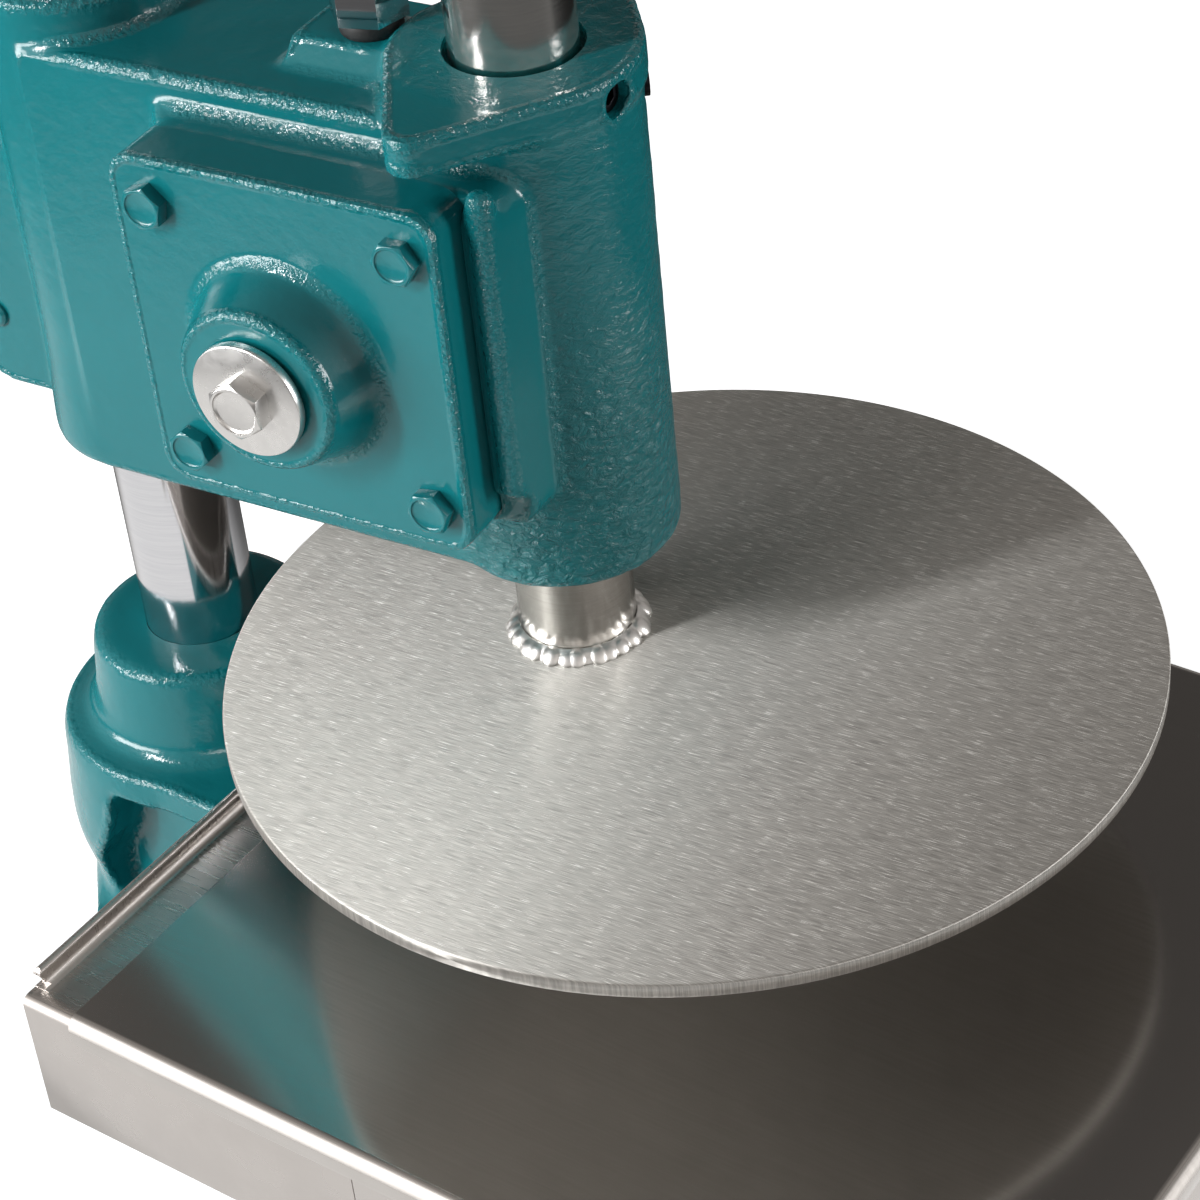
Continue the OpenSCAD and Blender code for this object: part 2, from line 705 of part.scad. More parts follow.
// The bolts are screwed into the near ear and drawn up by the nuts on the far one
module clamp_bolts() {
    far = ear_w / 2 + clamp_nut_h + clamp_tail;
    color(zinc) on_head() at_clamp_bolts() {
        translate([0, 0, -far]) cylinder(r = clamp_r, h = far + ear_w / 2 + clamp_end / 2);
        translate([0, 0, ear_w / 2 + clamp_end / 2])
            cylinder(r1 = clamp_r, r2 = clamp_r - chamfer, h = clamp_end / 2);
    }
}

module clamp_nuts() {
    color(zinc) on_head() at_clamp_bolts() translate([0, 0, -ear_w / 2]) mirror([0, 0, 1]) difference() {
        hex_head(clamp_af, clamp_nut_h);
        translate([0, 0, -over]) cylinder(r = clamp_r + thread_gap, h = clamp_nut_h + 2 * over);
    }
}

module guide_set_screws() {
    color([0.12, 0.12, 0.13]) on_head() for (g = guide_screws) at_guide_screw(g)
        translate([0, 0, ram_r + 2 * run_fit]) set_screw(ram_boss_d / 2 - ram_r - 2 * run_fit + g[2]);
}

module oil_plug() {
    seat = arm_top + plug_seat_h + plug_seal_t;
    color(chrome) on_head() translate([shaft_x, 0, seat]) {
        rotate([0, 0, plug_turn]) hex_head(plug_af, plug_head);
        translate([0, 0, -plug_shank]) cylinder(r = plug_r, h = plug_shank);
    }
}

module plug_seal() {
    color(rubber) on_head() translate([shaft_x, 0, arm_top + plug_seat_h]) difference() {
        cylinder(r = plug_seal_r, h = plug_seal_t);
        translate([0, 0, -over]) cylinder(r = plug_r + thread_gap, h = plug_seal_t + 2 * over);
    }
}

// Room for the key, half in the shaft and half in the pinion, at the rear of the shaft
module key_block(extra) {
    translate([shaft_x - shaft_r - key_s / 2, -key_l / 2 - extra, shaft_z - key_s / 2])
        cube([key_s, key_l + 2 * extra, key_s]);
}

module pinion_shaft() {
    color([0.6, 0.6, 0.6]) on_head() difference() {
        union() {
            on_shaft(shaft_r, shaft_near, shaft_far - chamfer);
            translate([shaft_x, shaft_far - chamfer, shaft_z]) rotate([-90, 0, 0])
                cylinder(r1 = shaft_r, r2 = shaft_r - chamfer, h = chamfer);
        }
        key_block(0);
        on_shaft(end_bolt_r + thread_gap, shaft_near + over, -(shaft_near - end_bolt_l - over));
        translate([0, 0, shaft_z]) cross_pin(over, thread_gap);
    }
}

// The pin across the hub and the shaft, along the arm
module cross_pin(extra, grow) {
    translate([shaft_x - hub_r - extra, hub_y + hub_w / 2, 0]) rotate([0, 90, 0])
        cylinder(r = hub_pin_r + grow, h = 2 * hub_r + 2 * extra);
}

function involute(a) = tan(a) * 180 / PI - a;
function roll_angle(r) = r > base_circle_r ? acos(base_circle_r / r) : 0;
function tooth_half(r) = 90 / pinion_teeth - backlash_angle + involute(pressure_angle) - involute(roll_angle(r));
function polar(r, a) = [r * cos(a), r * sin(a)];
flank_radii = concat([root_r], [for (i = [0:flank_steps]) base_circle_r + (tip_r - base_circle_r) * i / flank_steps]);
flank_count = len(flank_radii);
function tooth(a) = concat([for (r = flank_radii) polar(r, a - tooth_half(r))],
    [for (i = [1:flank_count]) polar(flank_radii[flank_count - i], a + tooth_half(flank_radii[flank_count - i]))]);

module drive_pinion() {
    color([0.45, 0.45, 0.46]) on_head() difference() {
        along_y(-pinion_w / 2, pinion_w / 2) translate([shaft_x, shaft_z])
            polygon([for (i = [0:pinion_teeth - 1]) for (p = tooth(i * 360 / pinion_teeth)) p]);
        on_shaft(shaft_r, pinion_w, pinion_w);
        key_block(pinion_w);
    }
}

module pinion_key() {
    color(zinc) on_head() key_block(0);
}

module end_washer() {
    color(zinc) on_head() difference() {
        on_shaft(end_washer_d / 2, washer_face, -shaft_near);
        on_shaft(end_bolt_r + hole_gap, washer_face + over, -shaft_near + over);
    }
}

module end_bolt() {
    color(zinc) on_head() translate([shaft_x, -washer_face, shaft_z]) rotate([90, 0, 0]) {
        hex_head(end_bolt_af, end_bolt_head);
        translate([0, 0, -end_bolt_l]) cylinder(r = end_bolt_r, h = end_bolt_l);
    }
}

module lever_hub() {
    color(enamel) on_head() difference() {
        union() {
            on_shaft(hub_r, -hub_y, shaft_far);
            translate([shaft_x, hub_y + hub_w / 2, shaft_z]) cylinder(r1 = neck_r + chamfer, r2 = neck_r, h = neck_h);
        }
        on_shaft(shaft_r, over, shaft_far + over);
        translate([shaft_x, hub_y + hub_w / 2, shaft_z + bar_seat]) cylinder(r = bar_d / 2, h = neck_h);
        translate([0, 0, shaft_z]) cross_pin(over, thread_gap);
    }
}

module hub_pin() {
    color(zinc) on_head() translate([0, 0, shaft_z]) cross_pin(0, 0);
}

module lever_bar() {
    color(chrome) on_head() translate([shaft_x, hub_y + hub_w / 2, shaft_z]) {
        translate([0, 0, bar_seat]) cylinder(r = bar_d / 2, h = lever_l - knob_flat - bar_seat);
        translate([0, 0, lever_l - knob_flat]) cylinder(r = knob_stud_r, h = knob_stud_l);
    }
}

module lever_knob() {
    color(rubber) on_head() translate([shaft_x, hub_y + hub_w / 2, shaft_z + lever_l]) difference() {
        sphere(knob_d / 2);
        translate([-knob_d, -knob_d, -2 * knob_d - knob_flat]) cube(2 * knob_d);
        translate([0, 0, -knob_d]) cylinder(r = knob_stud_r, h = knob_d - knob_flat + knob_stud_l);
    }
}

// Half the width of a tooth space of the rack at the depth u past its pitch line
function space_half(u) = tooth_pitch / 4 - u * tan(pressure_angle);

module ram() {
    outer = -gear_module - over;
    root = root_share * gear_module;
    rack_low = shaft_z - (spaces_below + 0.5) * tooth_pitch;
    rack_high = shaft_z + (spaces_above + 0.5) * tooth_pitch;
    color([0.75, 0.76, 0.78]) on_head() translate([arm_reach, 0, 0]) difference() {
        union() {
            translate([0, 0, ram_z]) cylinder(r = ram_r, h = ram_l - chamfer);
            translate([0, 0, ram_z + ram_l - chamfer]) cylinder(r1 = ram_r, r2 = ram_r - chamfer, h = chamfer);
        }
        translate([-rack_line - gear_module - ram_d, -ram_d, rack_low]) cube([ram_d, 2 * ram_d, rack_high - rack_low]);
        for (k = [-spaces_below:spaces_above]) along_y(-ram_d, ram_d)
            translate([-rack_line, shaft_z + k * tooth_pitch])
                polygon([[outer, space_half(outer)], [outer, -space_half(outer)], [root, -space_half(root)],
                    [root, space_half(root)]]);
    }
}

module press_plate() {
    bevel = chamfer / 2;
    r = plate_d / 2;
    color(stainless) on_head() translate([arm_reach + plate_offset, 0, plate_z]) rotate_extrude()
        polygon([[0, 0], [r - bevel, 0], [r, bevel], [r, plate_t - bevel], [r - bevel, plate_t], [0, plate_t]]);
}

module weld_bead() {
    color(zinc) on_head() translate([arm_reach, 0, ram_z]) rotate_extrude() translate([ram_r, 0])
        intersection() {
            square([weld_w, weld_h]);
            scale([weld_w, weld_h]) circle(1);
        }
}

base_casting();
rubber_feet();
foot_screws();
tray();
tray_screws();
work_sheet();
column_set_screws();
column();
head_casting();
gear_cover();
cover_bolts();
cover_bush();
housing_bush();
clamp_bolts();
clamp_nuts();
guide_set_screws();
oil_plug();
plug_seal();
pinion_shaft();
drive_pinion();
pinion_key();
end_washer();
end_bolt();
lever_hub();
hub_pin();
lever_bar();
lever_knob();
ram();
press_plate();
weld_bead();
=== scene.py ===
import json
import math
import bmesh
import bpy
import numpy as np
from mathutils import Euler, Matrix, Vector, noise


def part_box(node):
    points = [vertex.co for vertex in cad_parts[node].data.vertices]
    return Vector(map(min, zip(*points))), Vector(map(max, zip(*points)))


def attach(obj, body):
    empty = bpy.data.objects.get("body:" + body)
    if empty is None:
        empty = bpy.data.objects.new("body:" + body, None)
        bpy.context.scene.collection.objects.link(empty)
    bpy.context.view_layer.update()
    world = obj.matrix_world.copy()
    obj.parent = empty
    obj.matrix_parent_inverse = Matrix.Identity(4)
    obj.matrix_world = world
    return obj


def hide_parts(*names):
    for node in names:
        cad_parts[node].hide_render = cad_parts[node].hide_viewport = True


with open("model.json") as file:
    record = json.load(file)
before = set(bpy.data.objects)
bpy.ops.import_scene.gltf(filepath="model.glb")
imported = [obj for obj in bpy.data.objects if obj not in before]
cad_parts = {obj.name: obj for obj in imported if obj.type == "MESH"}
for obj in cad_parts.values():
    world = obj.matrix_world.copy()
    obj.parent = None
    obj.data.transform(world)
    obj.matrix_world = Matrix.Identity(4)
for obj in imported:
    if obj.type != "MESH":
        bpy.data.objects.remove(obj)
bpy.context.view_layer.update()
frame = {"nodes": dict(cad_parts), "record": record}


# Stage
# The press stands on a white laminate table, as in a catalogue: a wide soft box low on the left and a strip
# over it, a fill on the right, and a room left dark behind, which is what the polished steel shows.

def colour(code):
    """A picture colour such as #17696C as the linear values that shaders take."""
    parts = [int(code[i:i + 2], 16) / 255 for i in (1, 3, 5)]
    return [p / 12.92 if p <= 0.04045 else ((p + 0.055) / 1.055) ** 2.4 for p in parts] + [1]


def add(tree, kind, inputs=(), **settings):
    """One node with its settings and its inputs, by name or in order.

    An input is a value, a socket, or another node, which stands for its first output.
    """
    made = tree.nodes.new(kind)
    for name, value in settings.items():
        setattr(made, name, value)
    for key, value in inputs.items() if isinstance(inputs, dict) else enumerate(inputs):
        if isinstance(value, bpy.types.Node):
            value = value.outputs[0]
        if isinstance(value, bpy.types.NodeSocket):
            tree.links.new(value, made.inputs[key])
        else:
            made.inputs[key].default_value = value
    return made


def material(name):
    """An empty material and its node tree."""
    made = bpy.data.materials.new(name)
    made.use_nodes = True
    made.node_tree.nodes.clear()
    return made, made.node_tree


# Map Range takes a value, its lowest and highest, and what they become, and eases in between
easing = {"interpolation_type": "SMOOTHSTEP"}

table_half = 6
floor_mesh = bpy.data.meshes.new("studio_table")
floor_mesh.from_pydata([(x * table_half, y * table_half, 0) for x, y in ((-1, -1), (1, -1), (1, 1), (-1, 1))],
                       [], [(0, 1, 2, 3)])
floor = bpy.data.objects.new("studio_table", floor_mesh)
bpy.context.collection.objects.link(floor)

# White laminate. It glows a little to the camera so that it stays paper white. Polished faces see in it only
# a painted pool of light, a glow that fades out towards the far side, where no lamp reaches, and beyond it.
laminate, tree = material("white_table_laminate")
place = add(tree, "ShaderNodeTexCoord").outputs["Object"]
path = add(tree, "ShaderNodeLightPath")
depth = add(tree, "ShaderNodeVectorMath", (place, (-0.25, 1.0, 0)), operation="DOT_PRODUCT").outputs["Value"]
reach = add(tree, "ShaderNodeVectorMath", (place, (-0.05, -0.05, 0)), operation="DISTANCE").outputs["Value"]
away = add(tree, "ShaderNodeVectorMath", (place,), operation="LENGTH").outputs["Value"]
behind = add(tree, "ShaderNodeMapRange", (depth, 0.04, 0.24, 0.95, 0.10), **easing)
beyond = add(tree, "ShaderNodeMapRange", (reach, 0.42, 0.62, 1.0, 0.12), **easing)
painted_light_pool = add(tree, "ShaderNodeMath", (behind, beyond), operation="MULTIPLY")
whiteness = add(tree, "ShaderNodeMapRange", (away, 0.5, 1.6, 0.82, 1.05), **easing)
plain = add(tree, "ShaderNodeBsdfDiffuse", {"Color": colour("#F6F6F6")})
glow = add(tree, "ShaderNodeEmission", {"Color": colour("#FFFFFF"), "Strength": whiteness})
lit = add(tree, "ShaderNodeAddShader", (plain, glow))
seen = add(tree, "ShaderNodeMixShader", (path.outputs["Is Camera Ray"], plain, lit))
# Painted reflection: glossy rays see this glow instead of the lit laminate, bright near the press and fading
# far off.
painted_table_reflection = add(tree, "ShaderNodeEmission", {"Color": colour("#FFFDFB"), "Strength": painted_light_pool})
both = add(tree, "ShaderNodeMixShader", (path.outputs["Is Glossy Ray"], seen, painted_table_reflection))
add(tree, "ShaderNodeOutputMaterial", {"Surface": both})
floor_mesh.materials.append(laminate)

# The room: even light, brighter to the left and to the right, darker high behind on the left
world = bpy.data.worlds.new("studio")
bpy.context.scene.world = world
world.use_nodes = True
world.node_tree.nodes.clear()
tree = world.node_tree
way = add(tree, "ShaderNodeTexCoord").outputs["Generated"]
light = 0.34
for aim, low, high, gain in (((-0.62, -0.77, 0.15), 0.35, 1.0, 0.5), ((0.93, -0.36, 0.05), 0.45, 1.0, 0.5),
                             ((-0.46, 0.63, 0.62), 0.86, 0.98, -0.27)):
    facing = add(tree, "ShaderNodeVectorMath", (way, aim), operation="DOT_PRODUCT").outputs["Value"]
    lobe = add(tree, "ShaderNodeMapRange", (facing, low, high, 0.0, gain), **easing)
    light = add(tree, "ShaderNodeMath", (lobe, light))
ray = add(tree, "ShaderNodeLightPath")
room = add(tree, "ShaderNodeBackground", {"Color": colour("#FFF8F2"), "Strength": light})
dim = add(tree, "ShaderNodeBackground", {"Color": colour("#FFFFFF"), "Strength": 0.05})
white = add(tree, "ShaderNodeBackground", {"Color": colour("#FFFFFF"), "Strength": 1.0})
soft = add(tree, "ShaderNodeMixShader", (ray.outputs["Is Diffuse Ray"], room, dim))
pick = add(tree, "ShaderNodeMixShader", (ray.outputs["Is Camera Ray"], soft, white))
add(tree, "ShaderNodeOutputWorld", {"Surface": pick})

target = Vector((0, 0, 0.2))
for name, spot, size, power in (("left_softbox", (-1.15, -1.40, 0.34), (1.3, 0.45), 26),
                                ("key_strip", (-0.66, -1.20, 1.05), (0.12, 0.5), 13),
                                ("right_fill", (1.55, 0.70, 0.45), (0.4, 0.9), 14)):
    lamp = bpy.data.lights.new(name, "AREA")
    lamp.shape = "RECTANGLE"
    lamp.size, lamp.size_y = size
    lamp.energy = power
    box = bpy.data.objects.new(name, lamp)
    bpy.context.collection.objects.link(box)
    box.location = spot
    box.rotation_euler = (target - Vector(spot)).to_track_quat("-Z", "Y").to_euler()

view = bpy.data.cameras.new("photo_camera")
view.lens = 96.89
view.sensor_width = 36
camera = bpy.data.objects.new("photo_camera", view)
bpy.context.collection.objects.link(camera)
camera.location = (0.402414, -0.502652, 0.649408)
camera.rotation_euler = [math.radians(angle) for angle in (52.61369, 4.89224, 34.67422)]
bpy.context.scene.camera = camera
bpy.context.scene.view_settings.view_transform = "Standard"


# Base casting
# Pedestal, bed and foot frame in one sand casting of grey iron, with lumpy skins and soft corners from the
# mould. The column's socket is bored and the tray pads are machined; the rest is sprayed with teal enamel.

def middle(node):
    """The middle of the CAD node's box in millimetres."""
    low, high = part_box(node)
    return (low + high) * 500


# The head stands swung about the column's axis, and its sizes are in millimetres square to itself
hinge, = [joint for joint in frame["record"]["behaviour"]["joints"] if joint["name"] == "head_swing"]
column_x = hinge["pos_m"][0] * 1000
to_ram = middle("ram") - Vector((column_x, 0, 0))
swing = round(math.degrees(math.atan2(to_ram.y, to_ram.x)), 2)
arm = round(math.hypot(to_ram.x, to_ram.y), 1)
column_bore = 15.95
socket_floor, socket_top = 22, round(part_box("base_casting")[1].z * 1000, 1)
over = 3


def on_head(x=0.0, y=0.0, z=0.0):
    """The point of the head where it stands in the row frame, in metres."""
    turn = math.radians(swing)
    return Vector((x * math.cos(turn) - y * math.sin(turn) + column_x,
                   x * math.sin(turn) + y * math.cos(turn), z)) / 1000


def head_middle(node):
    """The middle of the CAD node's box, in millimetres of the head."""
    spot = middle(node) - Vector((column_x, 0, 0))
    return [round(c, 1) for c in Matrix.Rotation(-math.radians(swing), 3, "Z") @ spot]


def linked(name, mesh):
    """A new object that shows the mesh."""
    made = bpy.data.objects.new(name, mesh)
    bpy.context.collection.objects.link(made)
    return made


def from_bmesh(grid, name="piece"):
    """The finished mesh of a bmesh, which is freed."""
    mesh = bpy.data.meshes.new(name)
    grid.to_mesh(mesh)
    grid.free()
    return mesh


def cad_mesh(node, flat=None):
    """A copy of the CAD node's mesh with its split edges welded, and its flat faces made whole if asked."""
    grid = bmesh.new()
    grid.from_mesh(frame["nodes"][node].data)
    bmesh.ops.remove_doubles(grid, verts=grid.verts, dist=1e-6)
    if flat:
        bmesh.ops.dissolve_limit(grid, angle_limit=math.radians(flat), verts=grid.verts, edges=grid.edges)
    return from_bmesh(grid, node)


def bar(radius, start, end, sides=96):
    """A round bar of a radius in millimetres between two points, to plug a bore or to cut it again."""
    grid = bmesh.new()
    bmesh.ops.create_cone(grid, cap_ends=True, segments=sides, radius1=radius / 1000, radius2=radius / 1000,
                          depth=(end - start).length)
    turn = (end - start).to_track_quat("Z", "Y").to_matrix().to_4x4()
    grid.transform(Matrix.Translation((start + end) / 2) @ turn)
    return from_bmesh(grid)


def upright(radius, x, low, high):
    """A bar that stands on the head's middle line."""
    return bar(radius, on_head(x, 0, low), on_head(x, 0, high))


def settle(obj):
    """Replaces the object's mesh by what its modifiers make of it."""
    bpy.context.view_layer.update()
    done = bpy.data.meshes.new_from_object(obj.evaluated_get(bpy.context.evaluated_depsgraph_get()))
    obj.modifiers.clear()
    obj.data = done
    return obj


def joined(name, meshes):
    """One object that holds all the meshes."""
    grid = bmesh.new()
    for mesh in meshes:
        grid.from_mesh(mesh)
    return linked(name, from_bmesh(grid, name))


def carve(obj, tools, operation="DIFFERENCE"):
    """Takes the tools out of the object, or adds them to it, in one clean boolean each."""
    for mesh in tools:
        tool = linked("tool", mesh)
        change = obj.modifiers.new("carve", "BOOLEAN")
        change.operation, change.solver, change.object = operation, "MANIFOLD", tool
        settle(obj)
        bpy.data.objects.remove(tool)
    return obj


def run_soft(obj, voxel, rounds):
    """Makes one skin of all that the object holds and runs its corners soft."""
    change = obj.modifiers.new("skin", "REMESH")
    change.mode, change.voxel_size = "VOXEL", voxel / 1000
    change = obj.modifiers.new("soft", "SMOOTH")
    change.factor, change.iterations = 0.5, rounds
    return settle(obj)


def cast(name, meshes, voxel, rounds, turned_by=0.0):
    """The meshes as one cast body with soft corners, its faces square to the voxels meanwhile."""
    whole = joined(name, meshes)
    turn = Matrix.Rotation(math.radians(turned_by), 4, "Z")
    whole.data.transform(turn.inverted())
    run_soft(whole, voxel, rounds).data.transform(turn)
    return whole


def points_of(mesh):
    """The mesh's points and the way out at each, as two arrays."""
    at, out = np.zeros(len(mesh.vertices) * 3), np.zeros(len(mesh.vertices) * 3)
    mesh.vertices.foreach_get("co", at)
    mesh.vertex_normals.foreach_get("vector", out)
    return at.reshape(-1, 3), out.reshape(-1, 3)


def lumps(obj, size, height, spots=()):
    """Lumps of the sand mould in millimetres; round a spot's axis they have their own size and height."""
    noise.seed_set(7)
    fade, squat = 3, Vector((1, 1, 1.5))
    mesh = obj.data
    at, out = points_of(mesh)
    swell = np.array([noise.noise(Vector(p) * (1000 / size)) for p in at]) * height
    for axis, reach, fine, gain in spots:
        gone = np.linalg.norm((at - np.array(axis))[:, :2], axis=1) * 1000
        share = np.clip((reach - gone) / fade, 0, 1)
        near = share > 0
        swell[near] += share[near] * gain * np.array([noise.noise(Vector(p) * squat * (1000 / fine))
                                                      for p in at[near]])
    at += out * ((swell - height) / 1000)[:, None]
    mesh.vertices.foreach_set("co", at.ravel())
    mesh.update()


def mark_edges(obj, radius):
    """Stores how sharply the skin turns at each point as the attribute edge: 1 at a corner of that radius."""
    mesh = obj.data
    count = len(mesh.vertices)
    at, out = points_of(mesh)
    ends = np.zeros(len(mesh.edges) * 2, int)
    mesh.edges.foreach_get("vertices", ends)
    a, b = ends.reshape(-1, 2).T
    along = at[b] - at[a]
    square = np.maximum(np.einsum("ij,ij->i", along, along), 1e-12)
    turn = np.einsum("ij,ij->i", out[b] - out[a], along) / square
    near = np.maximum(np.bincount(a, minlength=count) + np.bincount(b, minlength=count), 1)
    bend = (np.bincount(a, turn, count) + np.bincount(b, turn, count)) / near
    for _ in range(4):
        bend = (bend + (np.bincount(a, bend[b], count) + np.bincount(b, bend[a], count)) / near) / 2
    slot = mesh.attributes.new("edge", "FLOAT", "POINT")
    slot.data.foreach_set("value", np.clip(np.abs(bend) * radius / 1000, 0, 1).astype(np.float32))


def finished(obj, body, finish, *nodes, crisp=30):
    """Gives the piece its material and body, and takes the place of the CAD nodes.

    Edges that turn by more than the crisp angle are shaded as edges.
    """
    obj.data.materials.clear()
    obj.data.materials.append(finish[0])
    obj.data.shade_smooth()
    obj.data.set_sharp_from_angle(angle=math.radians(crisp))
    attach(obj, body)
    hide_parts(*nodes)


# Glossy two-pack enamel sprayed over rough iron: a deep teal with orange peel everywhere, a crumpled glitter
# where the coat runs thin over the mould's corners, and the hammered sand skin of the ram's boss. Peel and
# glitter are drawn a little coarser than they are, about 4 and 2 mm wide, so that they show. The scales of
# these noises are grains to the metre.
enamel, tree = material("teal_enamel_on_cast_iron")
place = add(tree, "ShaderNodeTexCoord").outputs["Object"]
peel = add(tree, "ShaderNodeTexNoise", {"Vector": place, "Scale": 260, "Detail": 3, "Roughness": 0.5})
grain = add(tree, "ShaderNodeTexNoise", {"Vector": place, "Scale": 620, "Detail": 2, "Roughness": 0.55})
edge = add(tree, "ShaderNodeAttribute", attribute_name="edge").outputs["Fac"]
corner = add(tree, "ShaderNodeMapRange", (edge, 0.13, 0.5, 0.04, 1.0), **easing)
glitter = add(tree, "ShaderNodeMath", (grain, corner), operation="MULTIPLY")
fine = add(tree, "ShaderNodeMath", (glitter, 0.5), operation="MULTIPLY")
parts = add(tree, "ShaderNodeSeparateXYZ", (place,))
level = add(tree, "ShaderNodeCombineXYZ", (parts.outputs[0], parts.outputs[1]))
reach = add(tree, "ShaderNodeVectorMath", (level, on_head(arm)), operation="DISTANCE").outputs["Value"]
round_boss = add(tree, "ShaderNodeMapRange", (reach, 0.0275, 0.0320, 1.0, 0.0), **easing)
low_down = add(tree, "ShaderNodeMapRange", (parts.outputs[2], 0.19, 0.275, 1.0, 0.12), **easing)
on_boss = add(tree, "ShaderNodeMath", (round_boss, low_down), operation="MULTIPLY")
dimple = add(tree, "ShaderNodeMapping", {"Vector": place, "Scale": (260, 260, 480)})
wrinkle = add(tree, "ShaderNodeTexNoise", {"Vector": dimple, "Scale": 1.0, "Detail": 4, "Roughness": 0.6,
                                           "Distortion": 0.6})
beaten = add(tree, "ShaderNodeMath", (wrinkle, 1.9), operation="MULTIPLY")
hammer = add(tree, "ShaderNodeMath", (beaten, on_boss), operation="MULTIPLY")
height = add(tree, "ShaderNodeMath", (fine, hammer))
rough = add(tree, "ShaderNodeBump", {"Height": height, "Distance": 0.0016, "Strength": 1.0})
wave = add(tree, "ShaderNodeBump", {"Height": peel, "Distance": 0.00012, "Strength": 1.0, "Normal": rough})
cloud = add(tree, "ShaderNodeTexNoise", {"Vector": place, "Scale": 30, "Detail": 2})
teal = add(tree, "ShaderNodeMix", {"Factor": cloud, "A": colour("#0B6F75"), "B": colour("#0F787E")},
           data_type="RGBA")
shade = add(tree, "ShaderNodeBsdfPrincipled", {
    "Base Color": teal.outputs[2], "Roughness": 0.17, "IOR": 1.52, "Normal": wave})
add(tree, "ShaderNodeOutputMaterial", {"Surface": shade})
enamel = (enamel, "enamel")

base = cast("base_casting_painted", [
    cad_mesh("base_casting"), upright(column_bore + 0.35, 0, socket_floor + 8, socket_top - 0.3)],
    voxel=1.75, rounds=6)
lumps(base, size=9, height=0.14)
mark_edges(base, radius=3)
carve(base, [upright(column_bore, 0, socket_floor, socket_top + over)])
finished(base, "base", enamel, "base_casting", crisp=60)


# Rubber feet
# Four feet of moulded black rubber under the base frame, each with a recess in its sole for the screw. They
# keep the press from sliding when the lever is pulled.

def eased(name, node, width, flat=1.0, cuts=()):
    """The CAD node's piece with its flat faces made whole, cut by the tools, and its sharp edges broken."""
    made = carve(linked(name, cad_mesh(node, flat)), cuts)
    change = made.modifiers.new("ease", "BEVEL")
    change.width, change.segments, change.limit_method = width / 1000, 2, "ANGLE"
    change.angle_limit = math.radians(33)
    return settle(made)


# Black rubber: moulded, and dusty on its crests.
rubber, tree = material("moulded_black_rubber")
place = add(tree, "ShaderNodeTexCoord").outputs["Object"]
dust = add(tree, "ShaderNodeTexNoise", {"Vector": place, "Scale": 1400, "Detail": 4, "Roughness": 0.7})
dusted = add(tree, "ShaderNodeMapRange", (dust, 0.35, 0.8), **easing)
tint = add(tree, "ShaderNodeMix", {"Factor": dusted, "A": colour("#141415"), "B": colour("#2B2B2C")},
           data_type="RGBA")
dull = add(tree, "ShaderNodeMapRange", (dust, 0.2, 0.8, 0.45, 0.7), **easing)
dents = add(tree, "ShaderNodeBump", {"Height": dust, "Distance": 0.00006, "Strength": 0.6})
shade = add(tree, "ShaderNodeBsdfPrincipled", {
    "Base Color": tint.outputs[2], "Roughness": dull, "Normal": dents})
add(tree, "ShaderNodeOutputMaterial", {"Surface": shade})
rubber = (rubber, "rubber")

finished(eased("rubber_feet_moulded", "rubber_feet", 0.5), "base", rubber, "rubber_feet")


# Foot screws and tray screws
# Four pan head screws hold the feet, sunk in their soles, and four flat head screws hold the tray on the
# machined pads. Both are steel with bright zinc plating.

def metal(name, slot, tones, rough, grain, dent, bends=0.0, bow=None):
    """A metal whose tone and roughness wander between two values, in grains of that size in millimetres.

    The dent is the depth of the grains. The bends of a sheet can be duller, and a bow leans the light that
    its middle throws back.
    """
    made, tree = material(name)
    place = add(tree, "ShaderNodeTexCoord").outputs["Object"]
    grains = add(tree, "ShaderNodeMapping", {"Vector": place, "Scale": [size / 1000 for size in grain]},
                 vector_type="TEXTURE")
    cloud = add(tree, "ShaderNodeTexNoise", {"Vector": grains, "Scale": 1.0, "Detail": 4, "Roughness": 0.6})
    tone = add(tree, "ShaderNodeMapRange", (cloud, 0.3, 0.7), **easing)
    tint = add(tree, "ShaderNodeMix", {"Factor": tone, "A": colour(tones[0]), "B": colour(tones[1])},
               data_type="RGBA")
    dull = add(tree, "ShaderNodeMapRange", (cloud, 0.2, 0.8, *rough), **easing)
    way = add(tree, "ShaderNodeBump", {"Height": cloud, "Distance": dent / 1000, "Strength": 1.0})
    if bends:
        face = add(tree, "ShaderNodeNewGeometry").outputs["Normal"]
        upward = add(tree, "ShaderNodeSeparateXYZ", (face,)).outputs[2]
        tilt = add(tree, "ShaderNodeMath", (1.0, upward), operation="SUBTRACT")
        bent = add(tree, "ShaderNodeMath", (upward, tilt), operation="MULTIPLY")
        duller = add(tree, "ShaderNodeMapRange", (bent, 0.02, 0.2, 0.0, bends), **easing)
        dull = add(tree, "ShaderNodeMath", (dull, duller))
    if bow:
        # The wide flat of the sheet is drawn up a little beside its rear bend
        along = add(tree, "ShaderNodeSeparateXYZ", (place,)).outputs[0]
        share = add(tree, "ShaderNodeMapRange", (along, -0.100, 0.005, 1.0, 0.0), **easing)
        lean = add(tree, "ShaderNodeVectorMath", {0: bow, "Scale": share}, operation="SCALE")
        leant = add(tree, "ShaderNodeVectorMath", (way, lean))
        way = add(tree, "ShaderNodeVectorMath", (leant,), operation="NORMALIZE")
    shade = add(tree, "ShaderNodeBsdfPrincipled", {
        "Base Color": tint.outputs[2], "Metallic": 1.0, "Roughness": dull, "Normal": way})
    add(tree, "ShaderNodeOutputMaterial", {"Surface": shade})
    return made, slot


